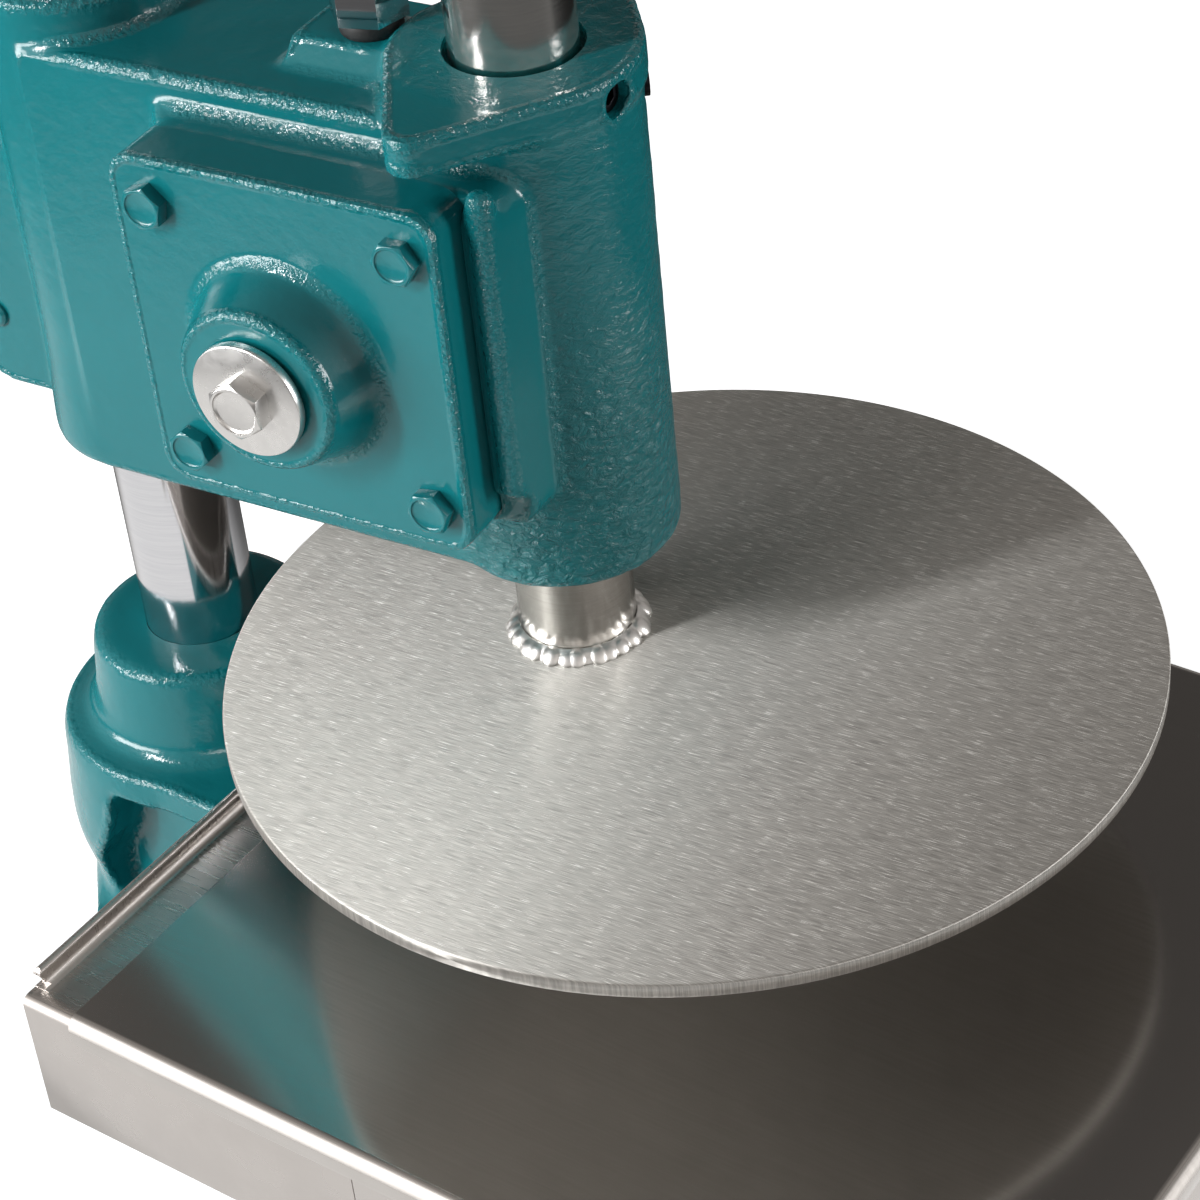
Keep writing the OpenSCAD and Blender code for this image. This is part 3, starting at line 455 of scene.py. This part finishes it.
# Bright zinc plating: satin, with the faint mottle of the barrel that it was tumbled in.
zinc = metal("bright_zinc_plate", "zinc", tones=("#E0DFDD", "#D8D7D5"), rough=(0.24, 0.34),
             grain=(4, 4, 4), dent=0.0006)
for node in ("foot_screws", "tray_screws"):
    finished(eased(node + "_plated", node, 0.15), "base", zinc, node)


# Tray
# A single stainless sheet, 1.2 mm thick, cut, hemmed along its rear upstand and folded down into deep skirts
# on a press brake. It is screwed to the base's pads, and its face keeps the satin of the rolling mill.

def mm(x, y, z):
    """A point of the row frame given in millimetres."""
    return Vector((x / 1000, y / 1000, z / 1000))


def prism(points, shift):
    """The flat outline drawn out along the shift."""
    grid = bmesh.new()
    face = grid.faces.new([grid.verts.new(p) for p in points])
    out = bmesh.ops.extrude_face_region(grid, geom=[face])["geom"]
    bmesh.ops.translate(grid, vec=shift, verts=[v for v in out if isinstance(v, bmesh.types.BMVert)])
    bmesh.ops.recalc_face_normals(grid, faces=grid.faces)
    return from_bmesh(grid)


rear = round(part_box("tray")[0].x * 1000, 2)
hem_top = round(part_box("tray")[1].z * 1000, 2)
half_width = round(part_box("tray")[1].y * 1000, 2)
sheet = 1.2
seam_x, seam_w, seam_depth, seam_low, seam_high = 12, 0.3, 0.4, 20, 79
tray_cuts = []
for side in (-1, 1):
    # The hem's ends are nipped off at the top and drawn in at the foot, clear of the side folds
    nip = [(20, -5.6), (-7.8, -5.6), (-6.8, -3.4), (-5.6, -1.8), (-5.8, -0.9), (-6.8, 0), (20, 0)]
    tray_cuts.append(prism([mm(rear - 1, side * (half_width + y), hem_top + z) for y, z in nip],
                           mm(4.5, 0, 0)))
    # Where the sheet was folded back on itself its end shows a narrow teardrop
    tear = [(1.10, -5.9), (1.30, -5.9), (1.55, -1.9), (1.20, -1.0), (0.85, -1.9)]
    tray_cuts.append(prism([mm(rear + x, side * (half_width - 10), hem_top + z) for x, z in tear],
                           mm(0, side * 20, 0)))
for sign in (-1, 1):
    # The hem's fold is round on the outside
    bend = [math.radians(a) for a in range(0, 91, 10)]
    fold = [(sign * sheet * math.cos(a), sheet * math.sin(a)) for a in bend]
    fold += [(0, 2), (sign * 2, 2), (sign * 2, 0)]
    tray_cuts.append(prism([mm(rear + sheet + x, -200, hem_top - sheet + z) for x, z in fold], mm(0, 400, 0)))
# A hairline down the near skirt, where the sheet's two ends meet
seam = [(0, seam_low), (seam_w, seam_low), (seam_w, seam_high), (0, seam_high)]
tray_cuts.append(prism([mm(seam_x + x, -half_width - 1, z) for x, z in seam], mm(0, 1 + seam_depth, 0)))

# Satin sheet: a fine grain along the tray, duller where the brake has pressed it.
folded_steel = metal("satin_stainless_sheet", "sheet", tones=("#C9C4C0", "#C4BFBB"), rough=(0.26, 0.30),
                     grain=(20, 0.6, 20), dent=0.0002, bends=0.2)
finished(eased("tray_folded", "tray", 0.16, 1.0, tray_cuts), "base", folded_steel, "tray")


# Work sheet
# A removable 1 mm stainless sheet on which the dough is pressed. It lies on the tray and hooks over its sides
# and front with short folded flanges.

# Sheet as it leaves the polishing rolls: nearly a mirror, with a faint grain along the tray and slow waves.
sheet_steel = metal("polished_stainless_sheet", "sheet", tones=("#C9C5C1", "#C4C0BC"), rough=(0.13, 0.16),
                    grain=(20, 0.6, 20), dent=0.0002, bends=0.5, bow=(0.26, -0.03, 0))
finished(eased("work_sheet_folded", "work_sheet", 0.14), "base", sheet_steel, "work_sheet")


# Column
# A ground steel bar with hard chrome, pressed down to the floor of its socket. The head slides and swings on
# it when the clamp is loose.

# Hard chrome over ground steel: a cool mirror with the last traces of the grinding wheel round the bar.
chrome = metal("hard_chrome_on_ground_bar", "chrome", tones=("#D9DADD", "#D2D3D7"), rough=(0.09, 0.12),
               grain=(20, 20, 0.6), dent=0.00003)
finished(eased("column_chromed", "column", 0.25, None), "column", chrome, "column")


# Column set screws
# Two hexagon socket grub screws in the pedestal's upper tier bear on the column, sunk flush with the casting.
# They are steel, blackened in hot oxide salts and oiled.

# Black oxide on steel: a dark oily satin.
black_oxide = metal("black_oxide_steel", "black_steel", tones=("#26262A", "#17171A"), rough=(0.28, 0.42),
                    grain=(2, 2, 2), dent=0.002)
socket_r = 31.2
grubs = eased("column_screws_blackened", "column_set_screws", 0.2)
carve(grubs, [upright(socket_r - 0.3, 0, 0, socket_top + over)], "INTERSECT")
finished(grubs, "base", black_oxide, "column_set_screws")


# Head casting
# One iron casting: the split boss that clamps the column, the arm, the gear housing, the ram's boss and its
# top pad. The bores and the cover's seat are machined, and it is painted as the base is.

shaft_x, washer_y, shaft_z = head_middle("end_washer")
boss_foot, column_boss_top = [round(corner.z * 1000, 1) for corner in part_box("head_casting")]
underside, pad_top = 173, 307.5
joint_y = -37.5
ram_bore, ram_mouth, ram_mouth_z = 15.25, 16.75, 301.5
gear_bore, gear_far = 31.5, 12.3
bush_bore, shaft_bore, far_face = 13.0, 11.0, 39.3
oil_bore, oil_low, oil_seat = 5.05, 250, 304.3
slit_half, slit_x = 1.5, -1
stud_r, stud_x, stud_heights = 4.2, -41.5, (202, 234)
guide_r = 4.05
cover_left, cover_right, cover_low, cover_top = 43.7, 132.7, 199, 289.3
cover_x, cover_z = 88.8, 245.1
cover_bolts = [(cover_x + i, cover_z + k) for i in (-34.25, 34.25) for k in (-34.1, 34.1)]
near = Matrix.Rotation(math.radians(swing), 3, "Z") @ mm(0, -1, 0)


def crosswise(radius, x, z, start, end, sides=96):
    """A bar across the head between two distances from its middle."""
    return bar(radius, on_head(x, start, z), on_head(x, end, z), sides)


def block(x0, x1, y0, y1, z0, z1):
    """A box that stands square to the head."""
    return prism([on_head(x, y, z0) for x, y in ((x0, y0), (x1, y0), (x1, y1), (x0, y1))], mm(0, 0, z1 - z0))


def rounded_plate(x0, x1, z0, z1, y, depth, r=7):
    """An upright plate with round corners, as deep towards the near side as asked."""
    corners = ((x0 + r, z0 + r, 180), (x1 - r, z0 + r, 270), (x1 - r, z1 - r, 0), (x0 + r, z1 - r, 90))
    steps = 8
    points = []
    for x, z, start in corners:
        for step in range(steps + 1):
            angle = math.radians(start + step * 90 / steps)
            points.append(on_head(x + r * math.cos(angle), y, z + r * math.sin(angle)))
    return prism(points, near * depth)


# The bores are filled while the skin is made, so that only the outside runs soft, and cut again afterwards
plugs = [upright(column_bore, 0, underside, column_boss_top), upright(ram_bore, arm, boss_foot, pad_top),
         upright(ram_mouth, arm, ram_mouth_z, pad_top),
         crosswise(gear_bore, shaft_x, shaft_z, gear_far, joint_y, 160),
         crosswise(bush_bore, shaft_x, shaft_z, gear_far, far_face),
         upright(oil_bore, shaft_x, oil_low, oil_seat)]
plugs += [crosswise(3.05, x, z, -31, joint_y) for x, z in cover_bolts]
plugs += [crosswise(stud_r, stud_x, z, -10.5, 10.5) for z in stud_heights]
plugs += [block(-50.5, slit_x, -slit_half, slit_half, 175, 307)]
plugs += [rounded_plate(cover_left, cover_right, cover_low, cover_top, joint_y + 0.5, 4)]
head = cast("head_casting_painted", [cad_mesh("head_casting")] + plugs, voxel=1.15, rounds=6, turned_by=swing)
boss_hammered = (on_head(arm), 30.5, 4.2, 0.17)
lumps(head, size=11, height=0.07, spots=[boss_hammered])
mark_edges(head, radius=3)
seat = rounded_plate(cover_left - 0.3, cover_right + 0.3, cover_low - 0.3, cover_top + 6.7, joint_y, 16)
carve(head, [seat,
             upright(column_bore, 0, underside - over, column_boss_top + over),
             upright(ram_bore, arm, boss_foot - over, pad_top + over),
             upright(ram_mouth, arm, ram_mouth_z, pad_top + over),
             crosswise(gear_bore, shaft_x, shaft_z, gear_far, joint_y - over, 160),
             crosswise(bush_bore, shaft_x, shaft_z, gear_far + 2, far_face + over),
             crosswise(shaft_bore, shaft_x, shaft_z, gear_far - over, gear_far + over),
             upright(oil_bore, shaft_x, oil_low, oil_seat + 2 * over),
             block(-56, slit_x, -slit_half, slit_half, 160, 320)])
for bearing, z in ((-8.5, 300.5), (35, 294)):
    out = Vector((40 * math.cos(math.radians(bearing)), 40 * math.sin(math.radians(bearing)), 0))
    carve(head, [bar(guide_r, on_head(arm, 0, z), on_head(arm + out.x, out.y, z), 48)])
finished(head, "head", enamel, "head_casting", crisp=38)


# Clamp studs and nuts
# Two studs in the near ear and their nuts on the far one draw the split boss tight on the column. The studs'
# heads are painted over with the casting, and the nuts are zinc plated.
finished(eased("clamp_bolts_painted", "clamp_bolts", 0.2), "head", enamel, "clamp_bolts")
finished(eased("clamp_nuts_plated", "clamp_nuts", 0.2), "head", zinc, "clamp_nuts")


# Guide screws
# Two hexagon socket grub screws of blackened steel at the rim of the top pad steady the ram. They were put
# in after the head was painted.
finished(eased("guide_screws_blackened", "guide_set_screws", 0.2), "head", black_oxide, "guide_set_screws")


# Bushes
# The shaft turns in two bushes of sintered bronze. One is pressed into the cover and one into the far wall of
# the gear housing.

# Sintered bronze: warm, matt and full of tiny oil pores.
bronze = metal("sintered_bronze", "bronze", tones=("#B98A4E", "#A2763F"), rough=(0.34, 0.5),
               grain=(0.6, 0.6, 0.6), dent=0.006)
for node in ("cover_bush", "housing_bush"):
    finished(eased(node + "_sintered", node, 0.15), "head", bronze, node)


# Pinion shaft
# A 20 mm shaft, turned and ground, with a keyway for the pinion and a tapped hole in its near end. It sits
# inside the housing and carries the lever's hub on the far side.

# Bare ground steel: rings from the centreless grinder, a little softer than chrome.
ground = metal("ground_steel_bar", "steel", tones=("#E4E2DE", "#D6D4D0"), rough=(0.14, 0.20),
               grain=(20, 20, 0.3), dent=0.0001)
finished(eased("pinion_shaft_ground", "pinion_shaft", 0.15), "pinion", ground, "pinion_shaft")


# Drive pinion and key
# The spur gear is cut from steel bar on a hobbing machine and drives the ram's rack. A square drawn key with
# zinc plating locks it to the shaft.

# Cut gear steel, left oily from the hob: darker than the shaft, with feed marks across the teeth.
hobbed = metal("hobbed_gear_steel", "gear_steel", tones=("#8D8C8A", "#6F6E6D"), rough=(0.25, 0.38),
               grain=(0.8, 10, 0.8), dent=0.003)
finished(eased("drive_pinion_cut", "drive_pinion", 0.1), "pinion", hobbed, "drive_pinion")
finished(eased("pinion_key_drawn", "pinion_key", 0.2), "pinion", zinc, "pinion_key")


# Gear cover
# A flat iron plate with a turned boss for the near bush, cast, machined on its joint face, and painted in
# place with the head. Its spigot fits the mouth of the gear housing.
spigot_r, boss_face = 31.2, -66.3
cover_hole = 3.3
cover = cast("gear_cover_painted", [
    cad_mesh("gear_cover"),
    rounded_plate(cover_left, cover_right, cover_low, cover_top + 1.7, joint_y - 0.5, -4),
    crosswise(bush_bore + 0.5, shaft_x, shaft_z, -30, boss_face + 0.1)]
    + [crosswise(cover_hole + 0.1, x, z, -36, -51.9) for x, z in cover_bolts],
    voxel=0.95, rounds=3, turned_by=swing)
lumps(cover, size=12, height=0.05)
mark_edges(cover, radius=3)
carve(cover, [block(30, 150, joint_y, joint_y + 32, 180, 310)])
carve(cover, [crosswise(spigot_r, shaft_x, shaft_z, -gear_far, joint_y - 1.5, 160)], "UNION")
carve(cover, [crosswise(bush_bore, shaft_x, shaft_z, joint_y, boss_face - 3.7),
              crosswise(shaft_bore, shaft_x, shaft_z, -5, joint_y - 2.5),
              upright(ram_bore + 1, arm, 200, 290)])
carve(cover, [crosswise(cover_hole, x, z, -30, -60) for x, z in cover_bolts])
finished(cover, "head", enamel, "gear_cover", crisp=38)


# Cover bolts
# Four M6 hexagon bolts of steel hold the gear cover, and were sprayed over with it. Each one stopped at its
# own angle when it was tightened.

def turned(profile, foot, up=Vector((0, 0, 1)), sides=192):
    """A turned piece: radii and heights in millimetres, spun about an axis that starts at the foot."""
    grid = bmesh.new()
    rings = []
    for radius, height in profile:
        steps = sides if radius else 1
        rings.append([grid.verts.new((radius / 1000 * math.cos(math.tau * i / steps),
                                      radius / 1000 * math.sin(math.tau * i / steps), height / 1000))
                      for i in range(steps)])
    hollow = profile[0][0] and profile[-1][0]
    for lower, upper in list(zip(rings, rings[1:])) + ([(rings[-1], rings[0])] if hollow else []):
        for i in range(sides):
            around = ((lower, i), (lower, i + 1), (upper, i + 1), (upper, i))
            grid.faces.new(list(dict.fromkeys(ring[k % len(ring)] for ring, k in around)))
    bmesh.ops.recalc_face_normals(grid, faces=grid.faces)
    grid.transform(Matrix.Translation(foot) @ up.to_track_quat("Z", "Y").to_matrix().to_4x4())
    return from_bmesh(grid)


def hex_bolt(flats, height, dish, shank, length):
    """A bolt up along Z: a hexagon with a turned top edge and a shallow dish, over a round shank."""
    corner = flats / 2 / math.cos(math.radians(30))
    brim = flats / 2 - 0.1
    chamfer = (corner + 1 - brim) * 0.55
    made = linked("bolt", bar(corner, Vector(), mm(0, 0, height), 6))
    top_edge = [(0, -1), (corner + 1, -1), (corner + 1, height - chamfer), (brim, height), (0, height)]
    hollow = [(0, height - dish), (brim - 1.2, height - dish), (brim - 0.65, height - dish * 0.5),
              (brim - 0.4, height + 0.5), (0, height + 0.5)]
    carve(made, [turned(top_edge, Vector())], "INTERSECT")
    carve(made, [turned(hollow, Vector())])
    carve(made, [bar(shank, mm(0, 0, -length), mm(0, 0, 0.5), 48)], "UNION")
    change = made.modifiers.new("ease", "BEVEL")
    change.width, change.segments, change.limit_method = 0.00022, 2, "ANGLE"
    change.angle_limit = math.radians(25)
    return settle(made)


def facing_near(spin):
    """The turn that lays an upright piece along the head's near direction, spun about itself."""
    return (Matrix.Rotation(math.radians(swing), 3, "Z") @ Matrix.Rotation(math.radians(90), 3, "X")
            @ Matrix.Rotation(math.radians(spin), 3, "Z")).to_euler()


def repeated(name, piece, spots, coat):
    """Geometry nodes that set the piece on every spot (place, turn and size), as one plain mesh object."""
    mesh = bpy.data.meshes.new(name)
    mesh.from_pydata([spot[0] for spot in spots], [], [])
    for label, part in (("turn", 1), ("size", 2)):
        slot = mesh.attributes.new(label, "FLOAT_VECTOR", "POINT")
        slot.data.foreach_set("vector", np.array([tuple(spot[part]) for spot in spots], np.float32).ravel())
    obj = linked(name, mesh)
    tree = bpy.data.node_groups.new(name, "GeometryNodeTree")
    tree.interface.new_socket("Spots", in_out="INPUT", socket_type="NodeSocketGeometry")
    tree.interface.new_socket("Result", in_out="OUTPUT", socket_type="NodeSocketGeometry")
    piece_input = tree.interface.new_socket("Piece", in_out="INPUT", socket_type="NodeSocketObject")
    coat_input = tree.interface.new_socket("Coat", in_out="INPUT", socket_type="NodeSocketMaterial")
    given = add(tree, "NodeGroupInput")
    shown = add(tree, "GeometryNodeObjectInfo", {"Object": given.outputs["Piece"]})
    turn = add(tree, "GeometryNodeInputNamedAttribute", {"Name": "turn"}, data_type="FLOAT_VECTOR")
    size = add(tree, "GeometryNodeInputNamedAttribute", {"Name": "size"}, data_type="FLOAT_VECTOR")
    turn_to = add(tree, "FunctionNodeEulerToRotation", (turn,))
    put = add(tree, "GeometryNodeInstanceOnPoints", {
        "Points": given.outputs["Spots"], "Instance": shown.outputs["Geometry"], "Rotation": turn_to,
        "Scale": size})
    real = add(tree, "GeometryNodeRealizeInstances", (put,))
    coated = add(tree, "GeometryNodeSetMaterial", {"Geometry": real, "Material": given.outputs["Coat"]})
    add(tree, "NodeGroupOutput", (coated,))
    change = obj.modifiers.new("repeat", "NODES")
    change.node_group = tree
    change[piece_input.identifier] = piece
    change[coat_input.identifier] = coat[0]
    settle(obj)
    bpy.data.objects.remove(piece)
    return obj


true_size = Vector((1, 1, 1))
spins = (12, 48, -20, 31)
seats = [(on_head(x, -52, z), facing_near(spin), true_size) for (x, z), spin in zip(cover_bolts, spins)]
bolts = repeated("cover_bolts_painted", hex_bolt(flats=10, height=3.6, dish=0.5, shank=2.95, length=20),
                 seats, enamel)
finished(bolts, "head", enamel, "cover_bolts")


# End washer
# A thick steel washer, turned and zinc plated. It lies between the cover's boss and the end bolt, and keeps
# the shaft from sliding through its bushes.
washer_t = 2.6
washer_foot = on_head(shaft_x, washer_y + washer_t / 2, shaft_z)
washer = linked("end_washer_plated", turned([
    (4.35, 0), (14.3, 0), (14.7, 0.15), (14.8, 0.6), (14.8, 2.1), (14.68, 2.45), (14.3, washer_t),
    (4.6, washer_t), (4.35, 2.4)], washer_foot, near.normalized()))
finished(washer, "pinion", zinc, "end_washer", crisp=38)


# End bolt
# An M8 hexagon bolt with a dished head, cold forged and zinc plated. It is screwed into the near end of the
# shaft, and turns with it.
end_bolt = repeated("end_bolt_plated", hex_bolt(flats=13, height=5, dish=0.7, shank=3.95, length=20), [
    (on_head(shaft_x, washer_y - washer_t / 2, shaft_z), facing_near(3), true_size)], zinc)
finished(end_bolt, "pinion", zinc, "end_bolt")


# Plug seal
# A thick ring of moulded black rubber. It lies on the cast seat over the pinion, where the oil plug squeezes
# it.
seal_t = 4
seal = linked("plug_seal_ring", turned([
    (5.2, 0), (7.3, 0), (7.65, 0.5), (7.8, 1.4), (7.8, 2.6), (7.65, 3.5), (7.3, seal_t), (5.2, seal_t)],
    on_head(shaft_x, 0, oil_seat), sides=96))
finished(seal, "head", rubber, "plug_seal", crisp=38)


# Oil plug
# A hexagon plug of chromed steel that closes the oil hole over the pinion. It is screwed down to no special
# angle.
plug_turn = Euler((0, 0, math.radians(swing - 16)))
plug = repeated("oil_plug_chromed", hex_bolt(flats=17, height=9, dish=0.4, shank=4.95, length=22), [
    (on_head(shaft_x, 0, oil_seat + seal_t), plug_turn, true_size)], chrome)
finished(plug, "head", chrome, "oil_plug")


# Ram
# A ground steel bar that slides in the bored boss of the head. Rack teeth are cut across its rear for the
# pinion.
finished(eased("ram_ground", "ram", 0.2), "ram", ground, "ram")


# Press plate
# A 4 mm disc of stainless steel, brushed on a belt along the arm and only deburred at its rim. It hangs from
# the weld at the foot of the ram, set forward of the ram's axis.

# Stainless steel with a belt grain, which spreads light across the grain far more than along it. Single
# deeper strokes are scored into the bump and also painted near white, as painted glints. The scratches are 5
# to 8 mm long and a fifth of a millimetre apart, wider than a real belt's, so that they show.
brushed, tree = material("belt_brushed_stainless")
place = add(tree, "ShaderNodeTexCoord").outputs["Object"]
face = add(tree, "ShaderNodeNewGeometry").outputs["Normal"]
upward = add(tree, "ShaderNodeSeparateXYZ", (face,)).outputs[2]
level = add(tree, "ShaderNodeMapRange", (upward, 0.5, 0.95), **easing)
hairs = add(tree, "ShaderNodeMapping", {"Vector": place, "Rotation": (0, 0, math.radians(swing)),
                                        "Scale": (0.0075, 0.00022, 0.01)}, vector_type="TEXTURE")
lines = add(tree, "ShaderNodeTexNoise", {"Vector": hairs, "Scale": 1.0, "Detail": 2, "Roughness": 0.6})
slips = add(tree, "ShaderNodeMapping", {"Vector": place, "Rotation": (0, 0, math.radians(5.2)),
                                        "Scale": (0.0052, 0.00016, 0.01)}, vector_type="TEXTURE")
strokes = add(tree, "ShaderNodeTexNoise", {"Vector": slips, "Scale": 1.0, "Detail": 0})
deepest = add(tree, "ShaderNodeMapRange", (strokes, 0.70, 0.77), **easing)
deep_strokes_painted_bright = add(tree, "ShaderNodeMath", (deepest, level), operation="MULTIPLY")
tone = add(tree, "ShaderNodeMapRange", (lines, 0.25, 0.75), **easing)
steel = add(tree, "ShaderNodeMix", {"Factor": tone, "A": colour("#A5A39F"), "B": colour("#D0CEC9")},
            data_type="RGBA")
# Painted glints: the deep strokes on the upward face are painted near white over the grain's own tone.
tint = add(tree, "ShaderNodeMix", {"Factor": deep_strokes_painted_bright, "A": steel.outputs[2], "B": colour("#FBFAF7")},
           data_type="RGBA")
gloss = add(tree, "ShaderNodeMapRange", (lines, 0.2, 0.8, 0.48, 0.58), **easing)
shallow = add(tree, "ShaderNodeMath", (lines, level), operation="MULTIPLY")
scored = add(tree, "ShaderNodeMath", (deep_strokes_painted_bright, 0.8), operation="MULTIPLY")
scratch = add(tree, "ShaderNodeMath", (shallow, scored))
dents = add(tree, "ShaderNodeBump", {"Height": scratch, "Distance": 0.00004, "Strength": 0.8})
grain_way = Matrix.Rotation(math.radians(swing), 3, "Z") @ Vector((0, 1, 0))
across = add(tree, "ShaderNodeVectorTransform", {"Vector": grain_way}, vector_type="VECTOR",
             convert_from="OBJECT", convert_to="WORLD")
shade = add(tree, "ShaderNodeBsdfPrincipled", {
    "Base Color": tint.outputs[2], "Metallic": 1.0, "Roughness": gloss, "Anisotropic": 0.85,
    "Tangent": across, "Normal": dents})
add(tree, "ShaderNodeOutputMaterial", {"Surface": shade})
brushed = (brushed, "stainless")

plate_x, _, _ = head_middle("press_plate")
plate_low, plate_top = [round(corner.z * 1000, 2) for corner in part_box("press_plate")]
plate_r = 119.99
plate = linked("press_plate_brushed", turned([
    (0, 0), (plate_r - 0.69, 0), (plate_r - 0.24, 0.12), (plate_r, 0.5), (plate_r, 3.6),
    (plate_r - 0.17, 3.98), (plate_r - 0.59, 4.1), (0, 4.1)], on_head(plate_x, 0, plate_low), sides=360))
finished(plate, "ram", brushed, "press_plate", crisp=50)


# Weld between ram and plate
# One hand-laid TIG bead right round the foot of the ram: overlapping ripples like a row of fallen coins,
# uneven in size, left bright after a wire brush.

# Weld metal: wire-brushed bright, its tone and gloss wandering in small patches.
weld_steel = metal("brushed_weld_metal", "weld", tones=("#EDECE9", "#D9D8D6"), rough=(0.30, 0.44),
                   grain=(3, 3, 3), dent=0.003)

noise.seed_set(3)
ram_foot = on_head(arm, 0, plate_top)
ripple_count = 27
drop = linked("drop", turned([(0, -1)] + [(math.cos(math.radians(a)), math.sin(math.radians(a)))
                                         for a in range(-75, 76, 15)] + [(0, 1)], Vector(), sides=24))
ripples = []
for step in range(ripple_count):
    angle = math.tau * (step + 0.25 * math.sin(step * 2.4)) / ripple_count
    spread = noise.noise(Vector((step * 0.7, 0, 0)))
    wobble = noise.noise(Vector((0, step * 1.3, 0)))
    out = Vector((math.cos(angle), math.sin(angle), 0))
    ripples.append((ram_foot + out * (0.0169 + 0.0004 * wobble) + Vector((0, 0, 0.0013 + 0.0003 * spread)),
                    (Matrix.Rotation(angle, 3, "Z") @ Matrix.Rotation(math.radians(42), 3, "Y")).to_euler(),
                    Vector((2.7 + 0.7 * spread, 2.5 + 0.6 * wobble, 1.3 + 0.3 * spread))))
bead = repeated("weld_bead_rippled", drop, ripples, weld_steel)
weld = joined("weld_bead_fused", [bead.data, turned([
    (ram_bore, 0), (18.3, 0), (17.6, 1.5), (16.5, 2.7), (ram_bore, 3.6)], ram_foot, sides=128)])
bpy.data.objects.remove(bead)
run_soft(weld, voxel=0.22, rounds=6)
carve(weld, [bar(25, ram_foot - mm(0, 0, 5), ram_foot)])
finished(weld, "ram", weld_steel, "weld_bead", crisp=60)


# Lever hub and pin
# A small iron casting on the far end of the shaft, painted like the head, with a neck for the lever. A zinc
# plated pin through hub and shaft carries the whole pull.
hub = cast("lever_hub_painted", [cad_mesh("lever_hub")], voxel=0.8, rounds=4, turned_by=swing)
lumps(hub, size=6, height=0.05)
mark_edges(hub, radius=2)
finished(hub, "pinion", enamel, "lever_hub", crisp=38)
finished(eased("hub_pin_ground", "hub_pin", 0.2), "pinion", zinc, "hub_pin")


# Lever bar
# A round steel bar with hard chrome, pressed into the neck of the hub. It is the handle that turns the
# shaft.
finished(eased("lever_bar_chromed", "lever_bar", 0.25), "pinion", chrome, "lever_bar")


# Lever knob
# A moulded ball of black phenolic with a flat foot, screwed on the end of the lever. A fine ridge runs round
# it where the mould's halves met.

# Black phenolic: glossy from the mould, with a fine haze of handling.
phenolic, tree = material("glossy_black_phenolic")
place = add(tree, "ShaderNodeTexCoord").outputs["Object"]
haze = add(tree, "ShaderNodeTexNoise", {"Vector": place, "Scale": 160, "Detail": 3})
dents = add(tree, "ShaderNodeBump", {"Height": haze, "Distance": 0.00002, "Strength": 0.5})
handled = add(tree, "ShaderNodeMapRange", (haze, 0.3, 0.7, 0.12, 0.24), **easing)
shade = add(tree, "ShaderNodeBsdfPrincipled", {
    "Base Color": colour("#0E0E10"), "Roughness": handled, "Normal": dents})
add(tree, "ShaderNodeOutputMaterial", {"Surface": shade})
phenolic = (phenolic, "plastic")

knob_r, knob_bore = 19, 5.1
knob_x, knob_y, _ = head_middle("lever_knob")
knob_z = round(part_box("lever_knob")[1].z * 1000, 2) - knob_r
knob_foot = [(0, 1.2), (knob_bore, 1.0), (knob_bore, -15), (10.5, -15), (11.4, -14.8)]
lower, upper = [[(knob_r * math.cos(math.radians(a)), knob_r * math.sin(math.radians(a))) for a in turn]
                for turn in (range(-50, -1, 4), range(2, 90, 4))]
mould_line = [(knob_r - 0.15, -0.35), (knob_r - 0.3, 0), (knob_r - 0.15, 0.35)]
knob = linked("lever_knob_moulded", turned(knob_foot + lower + mould_line + upper + [(0, knob_r)],
                                           on_head(knob_x, knob_y, knob_z), sides=96))
finished(knob, "pinion", phenolic, "lever_knob", crisp=50)
